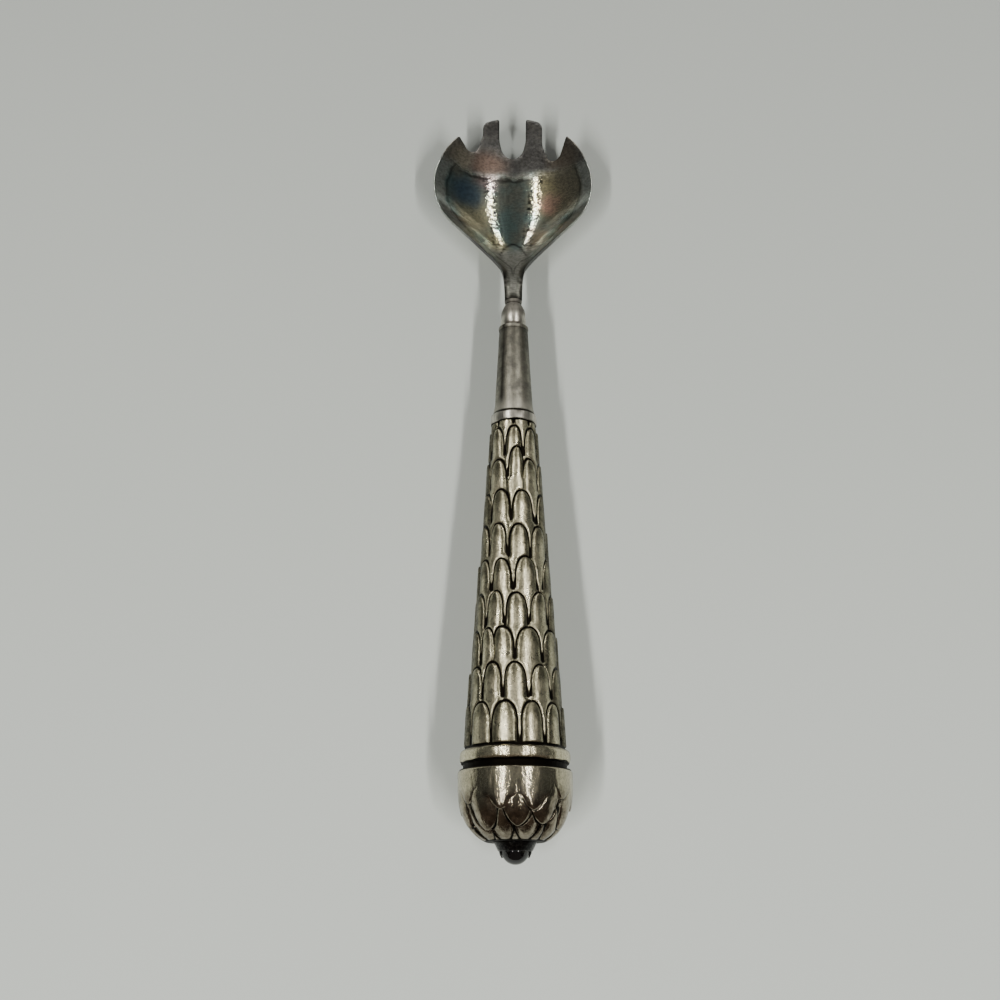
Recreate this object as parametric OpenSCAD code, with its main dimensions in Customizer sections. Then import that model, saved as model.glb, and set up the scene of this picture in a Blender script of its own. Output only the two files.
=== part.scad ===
// Salad serving fork lying on a table, head towards +Y, right side up.
// Silver-plated brass: a bowl-shaped four-tine head on a tang, a smooth ferrule,
// a hollow handle stamped in two halves with overlapping scales, and a leafy
// pommel that ends in a claw-set black stone. Sizes are in millimetres.

/* [Fork head] */
// Width of the bowl at its widest
bowl_d = 56.6; // [50:0.2:64]
// Shoulder of the neck to the widest point of the bowl
bowl_reach = 47.4; // [45:0.2:56]
// Thickness of the bowl and tines
bowl_t = 2; // [1.6:0.1:2.6]
// Rise of the bowl's rim above its belly at its widest
hollow_depth = 14.5; // [10:0.5:16]
// Squareness of the bowl's hollow from side to side, 2 for a parabola
hollow_power = 2.1; // [2:0.1:3]
// Rise of the tine tips above the belly
tine_rise = 13; // [8:0.5:16]
// Power of the curve from the belly to the tine tips, 2 for a parabola
tine_power = 2.3; // [2:0.1:3]
// How soon the neck dips into the bowl; lower values dip sooner
dip_power = 0.65; // [0.55:0.05:1]
// Roundness of the trough at the neck; higher values give it a flatter floor
trough_power = 4; // [2:0.1:5]
// Radius of the outline where the bowl's sides turn towards the neck
flank_r = 21.8; // [18:0.2:24]
// Slope of the outline's straight flanks, from the fork's long axis
flank_angle = 45; // [38:1:48]
// Width of the gap between the two long tines
mid_gap_w = 10; // [6:0.2:12]
// Width of that gap at its round root
mid_gap_root = 9; // [5:0.2:9.6]
// Width of the gap beside each outer tine
side_gap_w = 8.6; // [6:0.2:9]
// Width of that gap at its round root
side_gap_root = 5.2; // [4:0.2:6]
// Width of a long tine
tine_w = 5.8; // [4.5:0.1:7]
// Length of the middle gap, from its root to the front of the bowl
mid_gap_len = 12.6; // [10:0.2:18]
// Length of the side gaps, from their roots to the front of the bowl
side_gap_len = 13.6; // [11:0.2:18]
// Width of the neck
neck_w = 5.5; // [4.8:0.1:6]
// Thickness of the neck
neck_t = 4.8; // [4.6:0.1:6]
// Diameter of the tang
tang_d = 4.2; // [3:0.1:4.4]
// Length of the tang below the shoulder
tang_len = 62; // [50:1:90]

/* [Bolster and ferrule] */
// Diameter of the bolster at its base
bolster_d = 8.8; // [8.6:0.1:9.8]
// Diameter of the bolster under the neck
bolster_top_d = 6; // [5.8:0.1:7.4]
// Length of the bolster
bolster_len = 10.5; // [8:0.1:13]
// Length of the bolster's spigot inside the ferrule
bolster_spigot = 3; // [2:0.5:6]
// Diameter of the ferrule at its upper end
ferrule_d = 10.1; // [9.9:0.1:11.5]
// Diameter of the ferrule above its flare
ferrule_low_d = 12.4; // [11.8:0.1:13.2]
// Diameter of the flared foot of the ferrule
ferrule_foot_d = 14.2; // [13.4:0.1:15]
// Length of the ferrule between bolster and band
ferrule_len = 32.6; // [26:0.1:40]
// Length of the flared foot
flare_len = 7; // [4:0.5:9]
// Wall of the ferrule at its upper end and in its tail
ferrule_wall = 0.9; // [0.7:0.1:1.1]
// Length of the ferrule's tail inside the handle
tail_len = 5; // [3:0.5:8]
// Width of the band between ferrule and handle
band_w = 3.4; // [2.4:0.1:5]
// Diameter of the band
band_d = 15.2; // [15:0.1:16.4]

/* [Scaled handle] */
// Length of the handle shells
sleeve_len = 106.6; // [100:0.2:120]
// Diameter of the handle at the pommel, under the crowns of the scales
sleeve_d_wide = 31.4; // [29:0.2:32]
// Diameter of the handle at the band, under the crowns of the scales
sleeve_d_narrow = 14.6; // [14.2:0.2:16]
// Wall of the handle shells under the scales
shell_wall = 1.1; // [0.8:0.1:1.3]
// Rows of scales
scale_rows = 9; // [7:1:9]
// Distance from one row's tips to the next
row_pitch = 11.4; // [10.4:0.1:11.6]
// Pommel end of the shells to the first row's tips
first_tip = 12.7; // [11.5:0.1:13.5]
// Length of a scale's round arch
arch_len = 9.6; // [7:0.1:10.2]
// Scales round the handle in the widest row
scales_wide = 11; // [9:1:13]
// Scales round the handle in the narrowest row
scales_narrow = 8; // [6:1:10]
// Step from a scale's tip down to the row under it
scale_step = 0.6; // [0.4:0.05:1]
// Rise of a scale's middle above its edges
scale_crown = 0.5; // [0.2:0.05:0.55]

/* [Pommel] */
// Width of the half-round ring
ring_w = 4; // [3:0.1:6]
// Diameter of the ring
ring_d = 34; // [33.6:0.1:34.8]
// Width of the groove between ring and cap
groove_w = 2.3; // [1.2:0.1:3]
// Diameter of the groove's floor
groove_d = 32.8; // [31:0.1:33]
// Length of the ring's spigots inside handle and cap
ring_spigot = 4; // [3:0.5:6]
// Wall of the ring's spigot inside the handle
ring_wall = 1.2; // [1:0.1:1.6]
// Diameter of the cap over its leaves
cap_d = 35.4; // [35:0.1:37]
// Length of the cap, from the groove to the stone's seat
cap_len = 21.1; // [19:0.1:24]
// Distance from the groove to the cap's widest place
cap_shoulder = 3.6; // [2.5:0.1:4.5]
// Squareness of the cap's outline, 2 for an ellipse
cap_square = 2.6; // [2.2:0.05:3]
// Diameter of the cap's flat seat for the stone
cap_seat_d = 18; // [15:0.5:20]
// Wall of the cap under its leaves
cap_wall = 1.1; // [0.8:0.1:1.3]
// Leaves in each of the cap's rows
cap_leaves = 10; // [8:1:12]
// Step from a leaf's tip down to the row under it
leaf_step = 0.9; // [0.6:0.05:1]
// Rise of a leaf's middle above its edges
leaf_crown = 0.5; // [0.2:0.05:0.55]

/* [Stone] */
// Diameter of the stone
stone_d = 8.6; // [7:0.1:9.2]
// Height of the stone's straight girdle under its dome
girdle_h = 1; // [0.6:0.1:2]
// Floor of the setting's cup
cup_floor = 1.2; // [0.8:0.1:2]
// Diameter of the cup at its base
cup_base_d = 13; // [11.5:0.1:14]
// Wall of the cup at its mouth
cup_wall = 0.8; // [0.6:0.1:1.2]
// Depth of the stone's girdle and dome inside the cup's wall
cup_depth = 1.4; // [1:0.1:2.4]
// Number of claws
claws = 6; // [4:1:8]
// Width of a claw
claw_w = 2.4; // [1.6:0.1:2.8]
// Angle that a claw reaches up the stone's dome
claw_reach = 30; // [20:1:40]
// Diameter of the cup's stem through the cap
stem_d = 4; // [3:0.1:5]

/* [Fits] */
// Gap at each soldered or cemented seat
fit_gap = 0.05; // [0.02:0.01:0.1]

/* [Hidden] */
$fn = 96;

// Overlap of cutters past the faces that they cut
cut = 1;
// Smallest share of the section's half thickness left at an edge
edge_share = 0.35;
// Stations along the head, columns across half of it, and powers of its section
neck_stations = 22;
front_stations = 22;
half_columns = 11;
neck_power = 2.4;
bowl_power = 9;
// Softness of the fillet between neck and flanks
neck_fillet = 1.7;
// Straight length of neck under the shoulder, before it bends down
neck_straight = 5;
// Shift of the bowl's deepest place from its widest place, towards the neck
belly_shift = 3;
// Angular columns and rings of the relief on one handle shell and on the cap
shell_columns = 60;
row_rings = 3;
cap_columns = 90;
// Tips of the cap's three rows of leaves, as shares of its outline's length
leaf_tips = [0.46, 0.76, 1];
// Length of a leaf's round arch, as a share of the cap's outline
leaf_arch = 0.25;
// Shares of the cap's outline over which the leaves' crowns fade in and out
leaf_fade_in = 0.125;
leaf_fade_out = 0.2;
// Steps of the arcs in the turned outlines, and the angle at which the bolster's dome starts
arc_steps = 12;
dome_start = 8;
// Power of the ferrule's flare, and of the spacing of points in the cap's cavity
flare_power = 2;
cavity_power = 1.5;
// Share of the bowl's radius that its last station reaches
front_share = 0.998;

// Places along the handle's axis, measured from the stone's tip
setting_seat = stone_d / 2 + girdle_h + cup_floor;
cap_end = setting_seat + cap_len;
ring_start = cap_end + groove_w;
sleeve_start = ring_start + ring_w;
band_start = sleeve_start + sleeve_len;
ferrule_start = band_start + band_w;
bolster_start = ferrule_start + ferrule_len;
shoulder = bolster_start + bolster_len;
bowl_r = bowl_d / 2;
overall = shoulder + bowl_reach + sqrt(pow(bowl_r, 2) - pow(mid_gap_w / 2, 2));
axis_z = max(cap_d, ring_d) / 2;

// Radii inside the handle
tang_r = tang_d / 2;
tang_bore_r = tang_r + fit_gap;
shell_sink = scale_step + shell_wall;
tail_r = sleeve_d_narrow / 2 - shell_sink - fit_gap;
tail_bore_r = tail_r - ferrule_wall;
ferrule_bore_r = ferrule_d / 2 - ferrule_wall;
spigot_r = sleeve_d_wide / 2 - shell_sink - fit_gap;
ring_bore_r = spigot_r - ring_wall;
cap_base_r = cap_d / 2 - leaf_crown;
cap_sink = leaf_step + cap_wall;
cap_in_r = cap_base_r - cap_sink;
cap_centre = cap_end - cap_shoulder;
cap_drop = cap_len - cap_shoulder;
stone_r = stone_d / 2;
stem_r = stem_d / 2;
cup_bore_r = stone_r + fit_gap;

function lerp(a, b, t) = a + (b - a) * t;
function clamp01(t) = min(1, max(0, t));
function smooth(t) = let (c = clamp01(t)) c * c * (3 - 2 * c);
function arc(centre, r, from, to, steps) =
    [for (i = [0 : steps]) let (a = lerp(from, to, i / steps)) centre + r * [cos(a), sin(a)]];
// Place across the nearest of n scales round a ring, -1 and 1 at its edges
function across(n, angle, shift) = let (t = angle * n / 360 + shift) 2 * (t - floor(t)) - 1;
function round_arch(u) = 1 - sqrt(max(0, 1 - u * u));

// Puts a shape that stands on the handle's axis, stone down, in its lying place
module on_axis() {
    translate([0, -overall / 2, axis_z]) rotate([-90, 0, 0]) children();
}

// Closed solid through rings of points, each ring the same length and counter-clockwise
module loft(rings) {
    n = len(rings[0]);
    last = len(rings) - 1;
    sides = [for (j = [0 : last - 1], i = [0 : n - 1])
        [j * n + i, (j + 1) * n + i, (j + 1) * n + (i + 1) % n, j * n + (i + 1) % n]];
    ends = [[for (i = [0 : n - 1]) i], [for (i = [n - 1 : -1 : 0]) last * n + i]];
    polyhedron([for (ring = rings) each ring], concat(sides, ends), convexity = 10);
}

// Fork head: the bowl, its tines, the neck and the tang, forged in one piece.
// Heights and widths are functions of the distance from the neck's shoulder.
flank_drop = flank_r * sin(flank_angle);
flank_top_w = bowl_r - flank_r + flank_r * cos(flank_angle);
belly = bowl_reach - belly_shift;
// The bend ends at the belly, and thickness and section change along it
function bend(h) = smooth(pow(clamp01((h - neck_straight) / (belly - neck_straight)), dip_power));
function flank_line(h) = flank_top_w - (bowl_reach - flank_drop - h) / tan(90 - flank_angle);
function flank_w(h) = let (d = flank_line(h) - neck_w / 2)
    neck_w / 2 + (d + sqrt(d * d + 4 * neck_fillet * neck_fillet)) / 2;
function half_w(h) =
    h > bowl_reach ? sqrt(max(0, pow(bowl_r, 2) - pow(h - bowl_reach, 2)))
    : h > bowl_reach - flank_drop ? bowl_r - flank_r + sqrt(pow(flank_r, 2) - pow(bowl_reach - h, 2))
    : flank_w(h);
function half_t(h) = lerp(neck_t, bowl_t, bend(h)) / 2;
function mid_z(h) = h < belly ? lerp(axis_z, bowl_t / 2, bend(h))
    : bowl_t / 2 + tine_rise * pow((h - belly) / (bowl_reach + bowl_r - belly), tine_power);
// The rim runs level from the neck's axis to the bowl's widest place, and the hollow sinks below it
function rim_z(h) = lerp(axis_z, mid_z(bowl_reach) + hollow_depth, h / bowl_reach);
function hollow(x, h) = h < bowl_reach
    ? max(0, rim_z(h) - mid_z(h))
        * pow(abs(x) / half_w(h), lerp(trough_power, hollow_power, h / bowl_reach))
    : hollow_depth * pow(abs(x) / bowl_r, hollow_power);
function section(u, h) = let (p = lerp(neck_power, bowl_power, bend(h)))
    edge_share + (1 - edge_share) * pow(max(0, 1 - pow(abs(u), p)), 1 / 2);

// The flank's softened line runs a little wide, so the stations meet the arc where both agree
neck_places = [for (i = [0 : neck_stations - 1]) i / neck_stations * (bowl_reach - flank_drop)];
front_reach = asin(front_share);
front_places = [for (i = [0 : front_stations])
    let (a = lerp(-asin(flank_drop / bowl_r), front_reach, i / front_stations))
    bowl_reach + bowl_r * sin(a)];
columns = [for (i = [-half_columns : half_columns]) sin(90 * i / half_columns)];

function head_point(u, h, side) = let (x = u * half_w(h))
    [x, h, mid_z(h) + hollow(x, h) + side * section(u, h) * half_t(h)];

// A gap opens from its round root to full width over the share of its length given here
gap_spread = 0.42;
module gap_cutter(width, root, length, x) {
    translate([x, bowl_reach + bowl_r - length, -cut]) linear_extrude(axis_z * 2) hull() {
        translate([0, root / 2]) circle(d = root);
        translate([-width / 2, length * gap_spread]) square([width, length]);
    }
}

module fork_head() color("#8a8880") {
    side_gap_x = mid_gap_w / 2 + tine_w + side_gap_w / 2;
    translate([0, shoulder - overall / 2, 0]) difference() {
        loft([for (h = concat(neck_places, front_places))
            concat([for (u = columns) head_point(u, h, 1)],
                   [for (i = [len(columns) - 1 : -1 : 0]) head_point(columns[i], h, -1)])]);
        gap_cutter(mid_gap_w, mid_gap_root, mid_gap_len, 0);
        for (x = [-side_gap_x, side_gap_x]) gap_cutter(side_gap_w, side_gap_root, side_gap_len, x);
    }
    on_axis() translate([0, 0, shoulder - tang_len]) cylinder(h = tang_len + cut, r = tang_r);
}

// Neck bolster: a turned dome, bored for the tang, with a spigot that plugs the ferrule
module neck_bolster() color("#9a9890") on_axis() translate([0, 0, bolster_start]) rotate_extrude() {
    base_r = bolster_d / 2;
    top_r = bolster_top_d / 2;
    dome = [for (p = arc([0, 0], 1, dome_start, 90, arc_steps))
        [top_r + (base_r - top_r) * p.x, bolster_len * p.y]];
    polygon(concat([[tang_bore_r, -bolster_spigot], [ferrule_bore_r - fit_gap, -bolster_spigot],
                    [ferrule_bore_r - fit_gap, 0], [base_r, 0]], dome, [[tang_bore_r, bolster_len]]));
}

// Ferrule: a smooth tapered sleeve with a flared foot and a tail that plugs the handle
module ferrule() color("#a09c90") on_axis() translate([0, 0, ferrule_start]) rotate_extrude() {
    low_r = ferrule_low_d / 2;
    foot_r = ferrule_foot_d / 2;
    tail = band_w + tail_len;
    flare = [for (i = [0 : arc_steps]) let (t = i / arc_steps)
        [lerp(foot_r, low_r, 1 - pow(1 - t, flare_power)), flare_len * t]];
    polygon(concat([[tail_bore_r, -tail], [tail_r, -tail], [tail_r, 0]], flare,
                   [[ferrule_d / 2, ferrule_len], [ferrule_bore_r, ferrule_len],
                    [ferrule_bore_r, ferrule_len - bolster_spigot], [tail_bore_r, flare_len]]));
}

// Ferrule band: a plain ring over the ferrule's tail, at the mouth of the handle
module ferrule_band() color("#a8a498") on_axis() translate([0, 0, band_start]) difference() {
    cylinder(h = band_w, d = band_d);
    translate([0, 0, -cut]) cylinder(h = band_w + 2 * cut, r = tail_r + fit_gap);
}

// Handle shells: two stamped halves of a cone covered in overlapping scales whose tips
// point at the head. Each row lies under the next row towards the pommel.
function cone_r(z) = lerp(sleeve_d_wide, sleeve_d_narrow, z / sleeve_len) / 2;
function scales_in(k) = round(lerp(scales_wide, scales_narrow, k / (scale_rows - 1)));
function scale_u(k, angle) = across(scales_in(k), angle, k % 2 / 2);
function tip_line(k, angle) = k < 0 ? 0
    : min(sleeve_len - cut, first_tip + k * row_pitch) - arch_len * round_arch(scale_u(k, angle));
function shell_point(angle, r, z) = [r * sin(angle), -r * cos(angle), z];
function scale_ring(k, v, from) = [for (i = [0 : shell_columns])
    let (angle = from + 180 * i / shell_columns,
         z = lerp(tip_line(k - 1, angle), tip_line(k, angle), v),
         rise = scale_crown * (1 - pow(scale_u(k, angle), 2)) - scale_step * (1 - v))
    shell_point(angle, cone_r(z) + rise, z)];
function collar_ring(v, from) = [for (i = [0 : shell_columns])
    let (angle = from + 180 * i / shell_columns,
         z = lerp(tip_line(scale_rows - 1, angle), sleeve_len, v))
    shell_point(angle, cone_r(z) - scale_step * (1 - v), z)];

function bore_ring(z, from) = [for (i = [0 : shell_columns])
    shell_point(from + 180 * i / shell_columns, cone_r(z) - shell_sink, z)];

module handle_shell(from) {
    rows = [for (k = [0 : scale_rows - 1], j = [0 : row_rings]) scale_ring(k, j / row_rings, from)];
    outside = concat(rows, [collar_ring(0, from), collar_ring(1, from)]);
    inside = [bore_ring(0, from), bore_ring(sleeve_len, from)];
    n = shell_columns + 1;
    last = len(outside) - 1;
    low = len(outside) * n;
    high = low + n;
    skin = [for (j = [0 : last - 1], i = [0 : n - 2])
        [j * n + i, (j + 1) * n + i, (j + 1) * n + i + 1, j * n + i + 1]];
    bore = [for (i = [0 : n - 2]) [low + i, low + i + 1, high + i + 1, high + i]];
    ends = [for (i = [0 : n - 2]) each
        [[i, i + 1, low + i + 1, low + i], [high + i, high + i + 1, last * n + i + 1, last * n + i]]];
    seams = [concat([for (j = [last : -1 : 0]) j * n], [low, high]),
             concat([for (j = [0 : last]) j * n + n - 1], [high + n - 1, low + n - 1])];
    on_axis() translate([0, 0, sleeve_start]) polyhedron(
        [for (ring = concat(outside, inside)) each ring], concat(skin, bore, ends, seams), convexity = 10);
}

module handle_shell_front() color("#b5b0a2") handle_shell(-90);
module handle_shell_back() color("#aaa598") handle_shell(90);

// Filler core: the resin poured round the tang, which fills the handle from ferrule to pommel
module filler_core() color("#4a3a2c") on_axis() rotate_extrude() {
    slope = (sleeve_d_wide - sleeve_d_narrow) / 2 / sleeve_len;
    in_ring = ring_bore_r - fit_gap;
    in_tail = tail_bore_r - fit_gap;
    in_sleeve = spigot_r;
    ring_low = cap_end - ring_spigot - fit_gap;
    ring_high = sleeve_start + ring_spigot + fit_gap;
    tail_low = band_start - tail_len - fit_gap;
    top = bolster_start - bolster_spigot - fit_gap;
    tang_low = shoulder - tang_len - fit_gap;
    polygon(concat([[0, cap_floor + fit_gap]], cap_cavity_line(fit_gap, ring_low),
        [[in_ring, ring_low], [in_ring, ring_high],
         [in_sleeve - slope * (ring_high - sleeve_start), ring_high],
         [in_sleeve - slope * (tail_low - sleeve_start), tail_low],
         [in_tail, tail_low], [in_tail, ferrule_start + flare_len],
         [ferrule_bore_r - fit_gap, top], [tang_bore_r, top], [tang_bore_r, tang_low], [0, tang_low]]));
}

// Pommel ring: a turned half-round moulding over a groove, with spigots into handle and cap
module pommel_ring() color("#a8a498") on_axis() rotate_extrude() {
    slope = (sleeve_d_wide - sleeve_d_narrow) / 2 / sleeve_len;
    groove_r = groove_d / 2;
    bead = [for (p = arc([0, 0], 1, -90, 90, arc_steps))
        [groove_r + (ring_d / 2 - groove_r) * p.x, ring_start + ring_w / 2 * (1 + p.y)]];
    cap_spigot_r = cap_in_r - fit_gap;
    polygon(concat([[ring_bore_r, cap_end - ring_spigot], [cap_spigot_r, cap_end - ring_spigot],
                    [cap_spigot_r, cap_end], [groove_r, cap_end]], bead,
                   [[spigot_r, sleeve_start], [spigot_r - slope * ring_spigot, sleeve_start + ring_spigot],
                    [ring_bore_r, sleeve_start + ring_spigot]]));
}

// Pommel cap: a hollow dome under three rows of leaves whose tips point at the stone.
// Its outline is a cylinder and then a squared ellipse that ends at the flat seat.
cap_power = 2 / cap_square;
cap_seat_r = cap_seat_d / 2;
cap_ellipse = cap_drop / pow(1 - pow(cap_seat_r / cap_base_r, cap_square), 1 / cap_square);
cap_turn = asin(pow(cap_drop / cap_ellipse, 1 / cap_power));
cap_straight = cap_shoulder / (cap_shoulder + cap_len);
cap_floor = setting_seat + cap_sink;
function cap_line(t) = t < cap_straight ? [cap_base_r, cap_end - cap_shoulder * t / cap_straight]
    : let (a = cap_turn * (t - cap_straight) / (1 - cap_straight))
      [cap_base_r * pow(cos(a), cap_power), cap_centre - cap_ellipse * pow(sin(a), cap_power)];
function cap_in(z) = cap_in_r
    * pow(1 - pow(max(0, cap_centre - z) / (cap_ellipse - cap_sink), cap_square), 1 / cap_square);
// The cavity's outline from its flat floor up to a given height, drawn in by a gap
function cap_cavity_line(gap, high) = concat(
    [for (i = [0 : arc_steps]) let (z = lerp(cap_floor, cap_centre, pow(i / arc_steps, cavity_power)) + gap)
        [cap_in(z) - gap, z]],
    [[cap_in_r - gap, high]]);
function leaf_u(k, angle) = across(cap_leaves, angle, (k + 1) % 2 / 2);
function leaf_line(k, angle) = k < 0 ? 0 : k == len(leaf_tips) - 1 ? 1
    : leaf_tips[k] - leaf_arch * round_arch(leaf_u(k, angle));
function leaf_point(k, v, angle) = let (
    t = lerp(leaf_line(k - 1, angle), leaf_line(k, angle), v),
    p = cap_line(t),
    out = p - [0, cap_centre],
    open = t > 0 && t < 1 ? 1 : 0,
    rise = leaf_crown * (1 - pow(leaf_u(k, angle), 2))
        * min(1, t / leaf_fade_in) * min(1, (1 - t) / leaf_fade_out)
        - (k == 0 ? 0 : leaf_step * (1 - v)),
    q = p + out / norm(out) * rise * open)
    [q.x * sin(angle), -q.x * cos(angle), q.y];

module pommel_cap() color("#b0aa9c") on_axis() difference() {
    rings = [for (k = [0 : len(leaf_tips) - 1], j = [0 : row_rings])
        [for (i = [cap_columns - 1 : -1 : 0]) leaf_point(k, j / row_rings, 360 * i / cap_columns)]];
    loft(rings);
    rotate_extrude()
        polygon(concat([[0, cap_end + cut], [0, cap_floor]], cap_cavity_line(0, cap_end + cut)));
    translate([0, 0, setting_seat - cut]) cylinder(h = cap_sink + 2 * cut, r = stem_r + fit_gap);
}

// Stone setting: a turned cup with a stem through the cap, and claws bent over the stone's dome
module stone_setting() color("#3c3a36") on_axis() {
    mouth = setting_seat - cup_floor - cup_depth;
    claw_turn = 2 * asin(claw_w / 2 / stone_r);
    claw_root = cup_wall;
    claw_tip = cup_wall / 2;
    inner = arc([0, stone_r], cup_bore_r, 0, -claw_reach, arc_steps);
    outer = [for (i = [arc_steps : -1 : 0]) let (a = -claw_reach * i / arc_steps)
        [0, stone_r] + (cup_bore_r + lerp(claw_root, claw_tip, i / arc_steps)) * [cos(a), sin(a)]];
    stem_end = setting_seat + cap_sink - fit_gap;
    rotate_extrude() polygon([[0, stem_end], [stem_r, stem_end],
        [stem_r, setting_seat], [cup_base_d / 2, setting_seat], [cup_bore_r + cup_wall, mouth],
        [cup_bore_r, mouth], [cup_bore_r, setting_seat - cup_floor], [0, setting_seat - cup_floor]]);
    for (i = [0 : claws - 1])
        rotate([0, 0, 360 * i / claws - claw_turn / 2]) rotate_extrude(angle = claw_turn)
            polygon(concat([[cup_bore_r, stone_r + girdle_h / 2]], inner, outer,
                           [[cup_bore_r + cup_wall / 2, stone_r + girdle_h / 2]]));
}

// Cabochon: a round black stone with a high dome and a flat base
module cabochon() color("#101012") on_axis() intersection() {
    union() {
        translate([0, 0, stone_r]) sphere(r = stone_r);
        translate([0, 0, stone_r]) cylinder(h = girdle_h, r = stone_r);
    }
    translate([0, 0, -cut]) cylinder(h = stone_d + girdle_h - stone_r + cut, r = stone_d);
}

fork_head();
neck_bolster();
ferrule();
ferrule_band();
handle_shell_front();
handle_shell_back();
filler_core();
pommel_ring();
pommel_cap();
stone_setting();
cabochon();
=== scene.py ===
import math
import random

import bpy
import numpy as np
from mathutils import Matrix, Vector


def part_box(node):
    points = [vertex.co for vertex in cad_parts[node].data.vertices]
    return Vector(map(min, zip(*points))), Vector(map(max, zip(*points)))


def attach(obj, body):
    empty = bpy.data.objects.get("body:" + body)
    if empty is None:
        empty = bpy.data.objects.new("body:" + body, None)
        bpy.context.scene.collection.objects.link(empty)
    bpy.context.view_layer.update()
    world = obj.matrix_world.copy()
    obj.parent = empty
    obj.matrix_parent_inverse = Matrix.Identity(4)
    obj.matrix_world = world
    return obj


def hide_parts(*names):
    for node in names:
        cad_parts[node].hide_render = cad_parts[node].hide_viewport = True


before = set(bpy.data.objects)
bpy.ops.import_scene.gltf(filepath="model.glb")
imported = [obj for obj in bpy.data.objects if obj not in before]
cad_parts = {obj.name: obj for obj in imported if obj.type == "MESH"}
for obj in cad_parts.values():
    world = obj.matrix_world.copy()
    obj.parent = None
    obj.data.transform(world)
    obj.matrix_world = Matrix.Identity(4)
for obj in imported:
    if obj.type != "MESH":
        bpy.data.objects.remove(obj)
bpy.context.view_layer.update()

# Fork head
# One brass forging: a round bowl dapped in a die, four tines sawn out of its front edge and a flat
# topped neck that runs on as the tang in the handle. Silver plated, mirror polished, now tarnished.
MM = 0.001
axis_z = (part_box("ferrule_band")[0].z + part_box("ferrule_band")[1].z) / 2 / MM
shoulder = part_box("neck_bolster")[1].y / MM
bowl_r, bowl_reach, bowl_t, bowl_depth = 28.298, 47.4, 2.0, 14.5
flank_r, flank_angle = 21.8, math.radians(45)
neck_half, neck_fillet, neck_t, neck_straight, neck_crown = 2.75, 1.7, 4.8, 5.0, 0.7
belly = bowl_reach - 3.0
dip_power, trough_power, hollow_power, trough_end = 0.65, 4.0, 2.1, 36.0
tine_crease, crease_z, tip_z, tine_rise = 57.0, 2.3, 14.0, 0.40
tongue_end, tongue_half, tongue_arch, tongue_high = 29.0, 3.8, 4.5, 0.16
rim_roll = 0.5
tang_r, tang_len = 2.1, 62.0


def half_width(h):
    """Half the width of neck and bowl at a height above the shoulder."""
    if h > bowl_reach - flank_r * math.sin(flank_angle):
        return bowl_r - flank_r + math.sqrt(max(0, flank_r ** 2 - (bowl_reach - h) ** 2))
    flank = bowl_r - flank_r + flank_r * math.cos(flank_angle)
    d = flank - (bowl_reach - flank_r * math.sin(flank_angle) - h) * math.tan(flank_angle) - neck_half
    return neck_half + (d + math.sqrt(d * d + 4 * neck_fillet ** 2)) / 2


def swing(centre, r, start, end, steps):
    """Points on an arc from one angle to another, in degrees."""
    return [(centre[0] + r * math.cos(math.radians(a)), centre[1] + r * math.sin(math.radians(a)))
            for a in np.linspace(start, end, steps)]


def soft_corner(before, corner, after, reach):
    """Points that round off a corner over the given reach along both of its sides."""
    b, c, a = (np.array(p, float) for p in (before, corner, after))
    start = c + (b - c) / np.linalg.norm(b - c) * reach
    end = c + (a - c) / np.linalg.norm(a - c) * reach
    return [tuple((1 - t) ** 2 * start + 2 * t * (1 - t) * c + t * t * end) for t in np.linspace(0, 1, 7)]


# The outline runs from the neck round the outer tine, the side gap and the long tine to the bottom of the
# middle gap. The gaps were sawn by hand, so the left one is shallower than the right one.
mid_gap, mid_root, mid_low = 4.8, 4.4, 64.0
mid_open = mid_low + 5.3
mid_centre = (0.0, mid_low + mid_root)
side_gap, side_root, side_x, side_throat = 4.3, 2.6, 15.1, 5.7
right_gap_low, left_gap_low = 61.6, 64.4
outer_tip_soft, tine_foot_soft, tine_out_soft, tine_in_soft, mid_foot_soft = 0.9, 1.2, 1.9, 0.8, 0.6
rim_at = lambda x: bowl_reach + math.sqrt(bowl_r ** 2 - x * x)


def half_outline(side_low):
    """The outline's right half, with the side gap sawn down to the given height."""
    side_open = side_low + side_throat
    outer_tip = (side_x + side_gap, rim_at(side_x + side_gap))
    tine_out = (side_x - side_gap, rim_at(side_x - side_gap))
    tine_in = (mid_gap, rim_at(mid_gap))
    side_centre = (side_x, side_low + side_root)
    side_turn = math.degrees(math.atan2(side_open - side_centre[1], side_gap) - math.acos(
        side_root / math.hypot(side_gap, side_open - side_centre[1])))
    mid_turn = math.degrees(math.atan2(mid_open - mid_centre[1], mid_gap) - math.acos(
        mid_root / math.hypot(mid_gap, mid_open - mid_centre[1])))
    round_end = math.degrees(math.acos(outer_tip[0] / bowl_r))
    side_line = swing(side_centre, side_root, side_turn, -180 - side_turn, 16)
    mid_line = swing(mid_centre, mid_root, mid_turn, -90, 14)
    tine_top = [p for p in swing((0, bowl_reach), bowl_r, 66, 81, 16)
                if tine_in[0] + 1 < p[0] < tine_out[0] - 2.2]
    points = [(half_width(h), h) for h in np.arange(0, bowl_reach, 0.8)]
    points += swing((0, bowl_reach), bowl_r, 0.6, round_end - 2.4, 46)
    points += soft_corner(points[-1], outer_tip, side_line[0], outer_tip_soft)
    points += side_line
    points += soft_corner(side_line[-1], (tine_out[0], side_open), tine_out, tine_foot_soft)
    points += soft_corner((tine_out[0], side_open), tine_out, tine_top[0], tine_out_soft)
    points += tine_top
    points += soft_corner(tine_top[-1], tine_in, (mid_gap, mid_open), tine_in_soft)
    points += soft_corner(tine_in, (mid_gap, mid_open), mid_line[0], mid_foot_soft)
    return points + mid_line


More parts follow.
